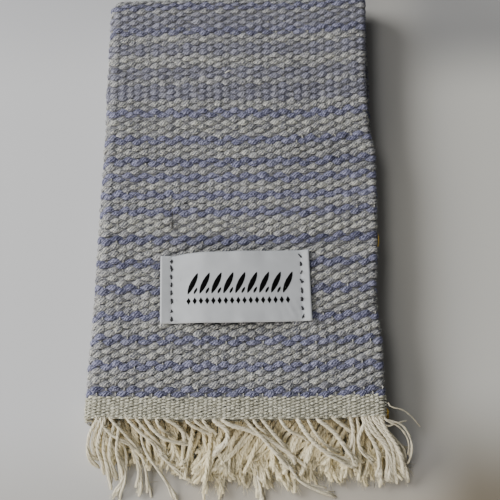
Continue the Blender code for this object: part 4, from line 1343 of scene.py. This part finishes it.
def area_light(name, place, target, size, power, colour=(1, 1, 1)):
    from mathutils import Vector

    data = bpy.data.lights.new(name, "AREA")
    data.shape, data.size, data.energy, data.color = "DISK", size, power, colour
    made = bpy.data.objects.new(name, data)
    made.location = place
    made.rotation_euler = (Vector(target) - Vector(place)).to_track_quat("-Z", "Y").to_euler()
    bpy.context.scene.collection.objects.link(made)
    return made


def floor():
    mesh = bpy.data.meshes.new("floor")
    s = 3.0
    mesh.from_pydata([(-s, -s, 0), (s, -s, 0), (s, s, 0), (-s, s, 0)], [], [(0, 1, 2, 3)])
    made = bpy.data.objects.new("floor", mesh)
    bpy.context.scene.collection.objects.link(made)
    material = bpy.data.materials.new("floor")
    material.use_nodes = True
    tree = material.node_tree
    shader = tree.nodes["Principled BSDF"]
    socket(shader, {"Roughness": 0.85, "Specular IOR Level": 0.15})
    at = tree.nodes.new("ShaderNodeTexCoord")
    split = tree.nodes.new("ShaderNodeSeparateXYZ")
    tree.links.new(at.outputs["Object"], split.inputs[0])

    def ramp(value, low, high):
        node = tree.nodes.new("ShaderNodeMapRange")
        node.interpolation_type = "SMOOTHSTEP"
        node.inputs["From Min"].default_value, node.inputs["From Max"].default_value = low, high
        tree.links.new(value, node.inputs["Value"])
        return node.outputs["Result"]

    def blend(factor, first, second):
        node = tree.nodes.new("ShaderNodeMix")
        node.data_type = "RGBA"
        tree.links.new(factor, node.inputs["Factor"])
        for name, value in (("A", first), ("B", second)):
            if isinstance(value, tuple):
                node.inputs[name].default_value = (*value, 1)
            else:
                tree.links.new(value, node.inputs[name])
        return node.outputs["Result"]

    # Cool grey, darker towards the far end and darker and warmer towards the fringed end. The cloth's shadow is painted
    # on it too: a darker band just right of the cloth, and a dark patch at each end further right.
    cool, warm = blend(ramp(split.outputs[1], 0.050, 0.100), (0.60, 0.605, 0.62), (0.50, 0.505, 0.525)), blend(ramp(split.outputs[0], -0.045, -0.01), (0.47, 0.46, 0.435), (0.45, 0.40, 0.31))
    # Painted shadow: darker and warmer to the right, near the fringed end.
    warm = blend(ramp(split.outputs[0], 0.022, 0.050), warm, (0.37, 0.32, 0.235))
    near = blend(ramp(split.outputs[1], -0.065, -0.115), cool, warm)
    # Painted shadow of the cloth in the band just right of it, darker towards the far end.
    beside = blend(ramp(split.outputs[1], 0.005, 0.070), (0.50, 0.485, 0.445), (0.40, 0.39, 0.37))
    beside = blend(ramp(split.outputs[0], 0.035, 0.052), near, beside)
    right = ramp(split.outputs[0], 0.055, 0.080)
    # Painted shadow further right: very dark towards the fringed end, darker at the far end.
    painted_shadow_far_right = blend(ramp(split.outputs[1], -0.055, -0.100), (0.57, 0.565, 0.535), (0.205, 0.178, 0.135))
    painted_shadow_far_right = blend(ramp(split.outputs[1], 0.050, 0.085), painted_shadow_far_right, (0.275, 0.275, 0.275))
    floor_with_painted_shadow = blend(ramp(split.outputs[1], -0.070, -0.085), blend(right, beside, painted_shadow_far_right), blend(right, near, painted_shadow_far_right))
    # Far from the cloth it is one even grey.
    away = tree.nodes.new("ShaderNodeVectorMath")
    away.operation = "LENGTH"
    tree.links.new(at.outputs["Object"], away.inputs[0])
    tree.links.new(blend(ramp(away.outputs["Value"], 0.125, 0.21), floor_with_painted_shadow, (0.54, 0.54, 0.54)), shader.inputs["Base Color"])
    mesh.materials.append(material)


camera()
floor()
area_light("window", (-0.97, 0.33, 0.53), (0.0, 0.0, 0.01), 0.80, 21.0, (1.0, 0.995, 0.98))
area_light("upper_window", (-0.36, 0.06, 0.98), (0.0, 0.0, 0.0), 0.35, 2.3, (0.98, 0.99, 1.0))
area_light("room", (-0.40, -0.98, 0.36), (0.0, -0.07, 0.0), 0.7, 9.0, (1.0, 0.94, 0.84))
world = bpy.data.worlds.new("studio")
bpy.context.scene.world = world
world.use_nodes = True
world.node_tree.nodes["Background"].inputs[0].default_value = (0.97, 0.98, 1.0, 1)
world.node_tree.nodes["Background"].inputs[1].default_value = 0.105
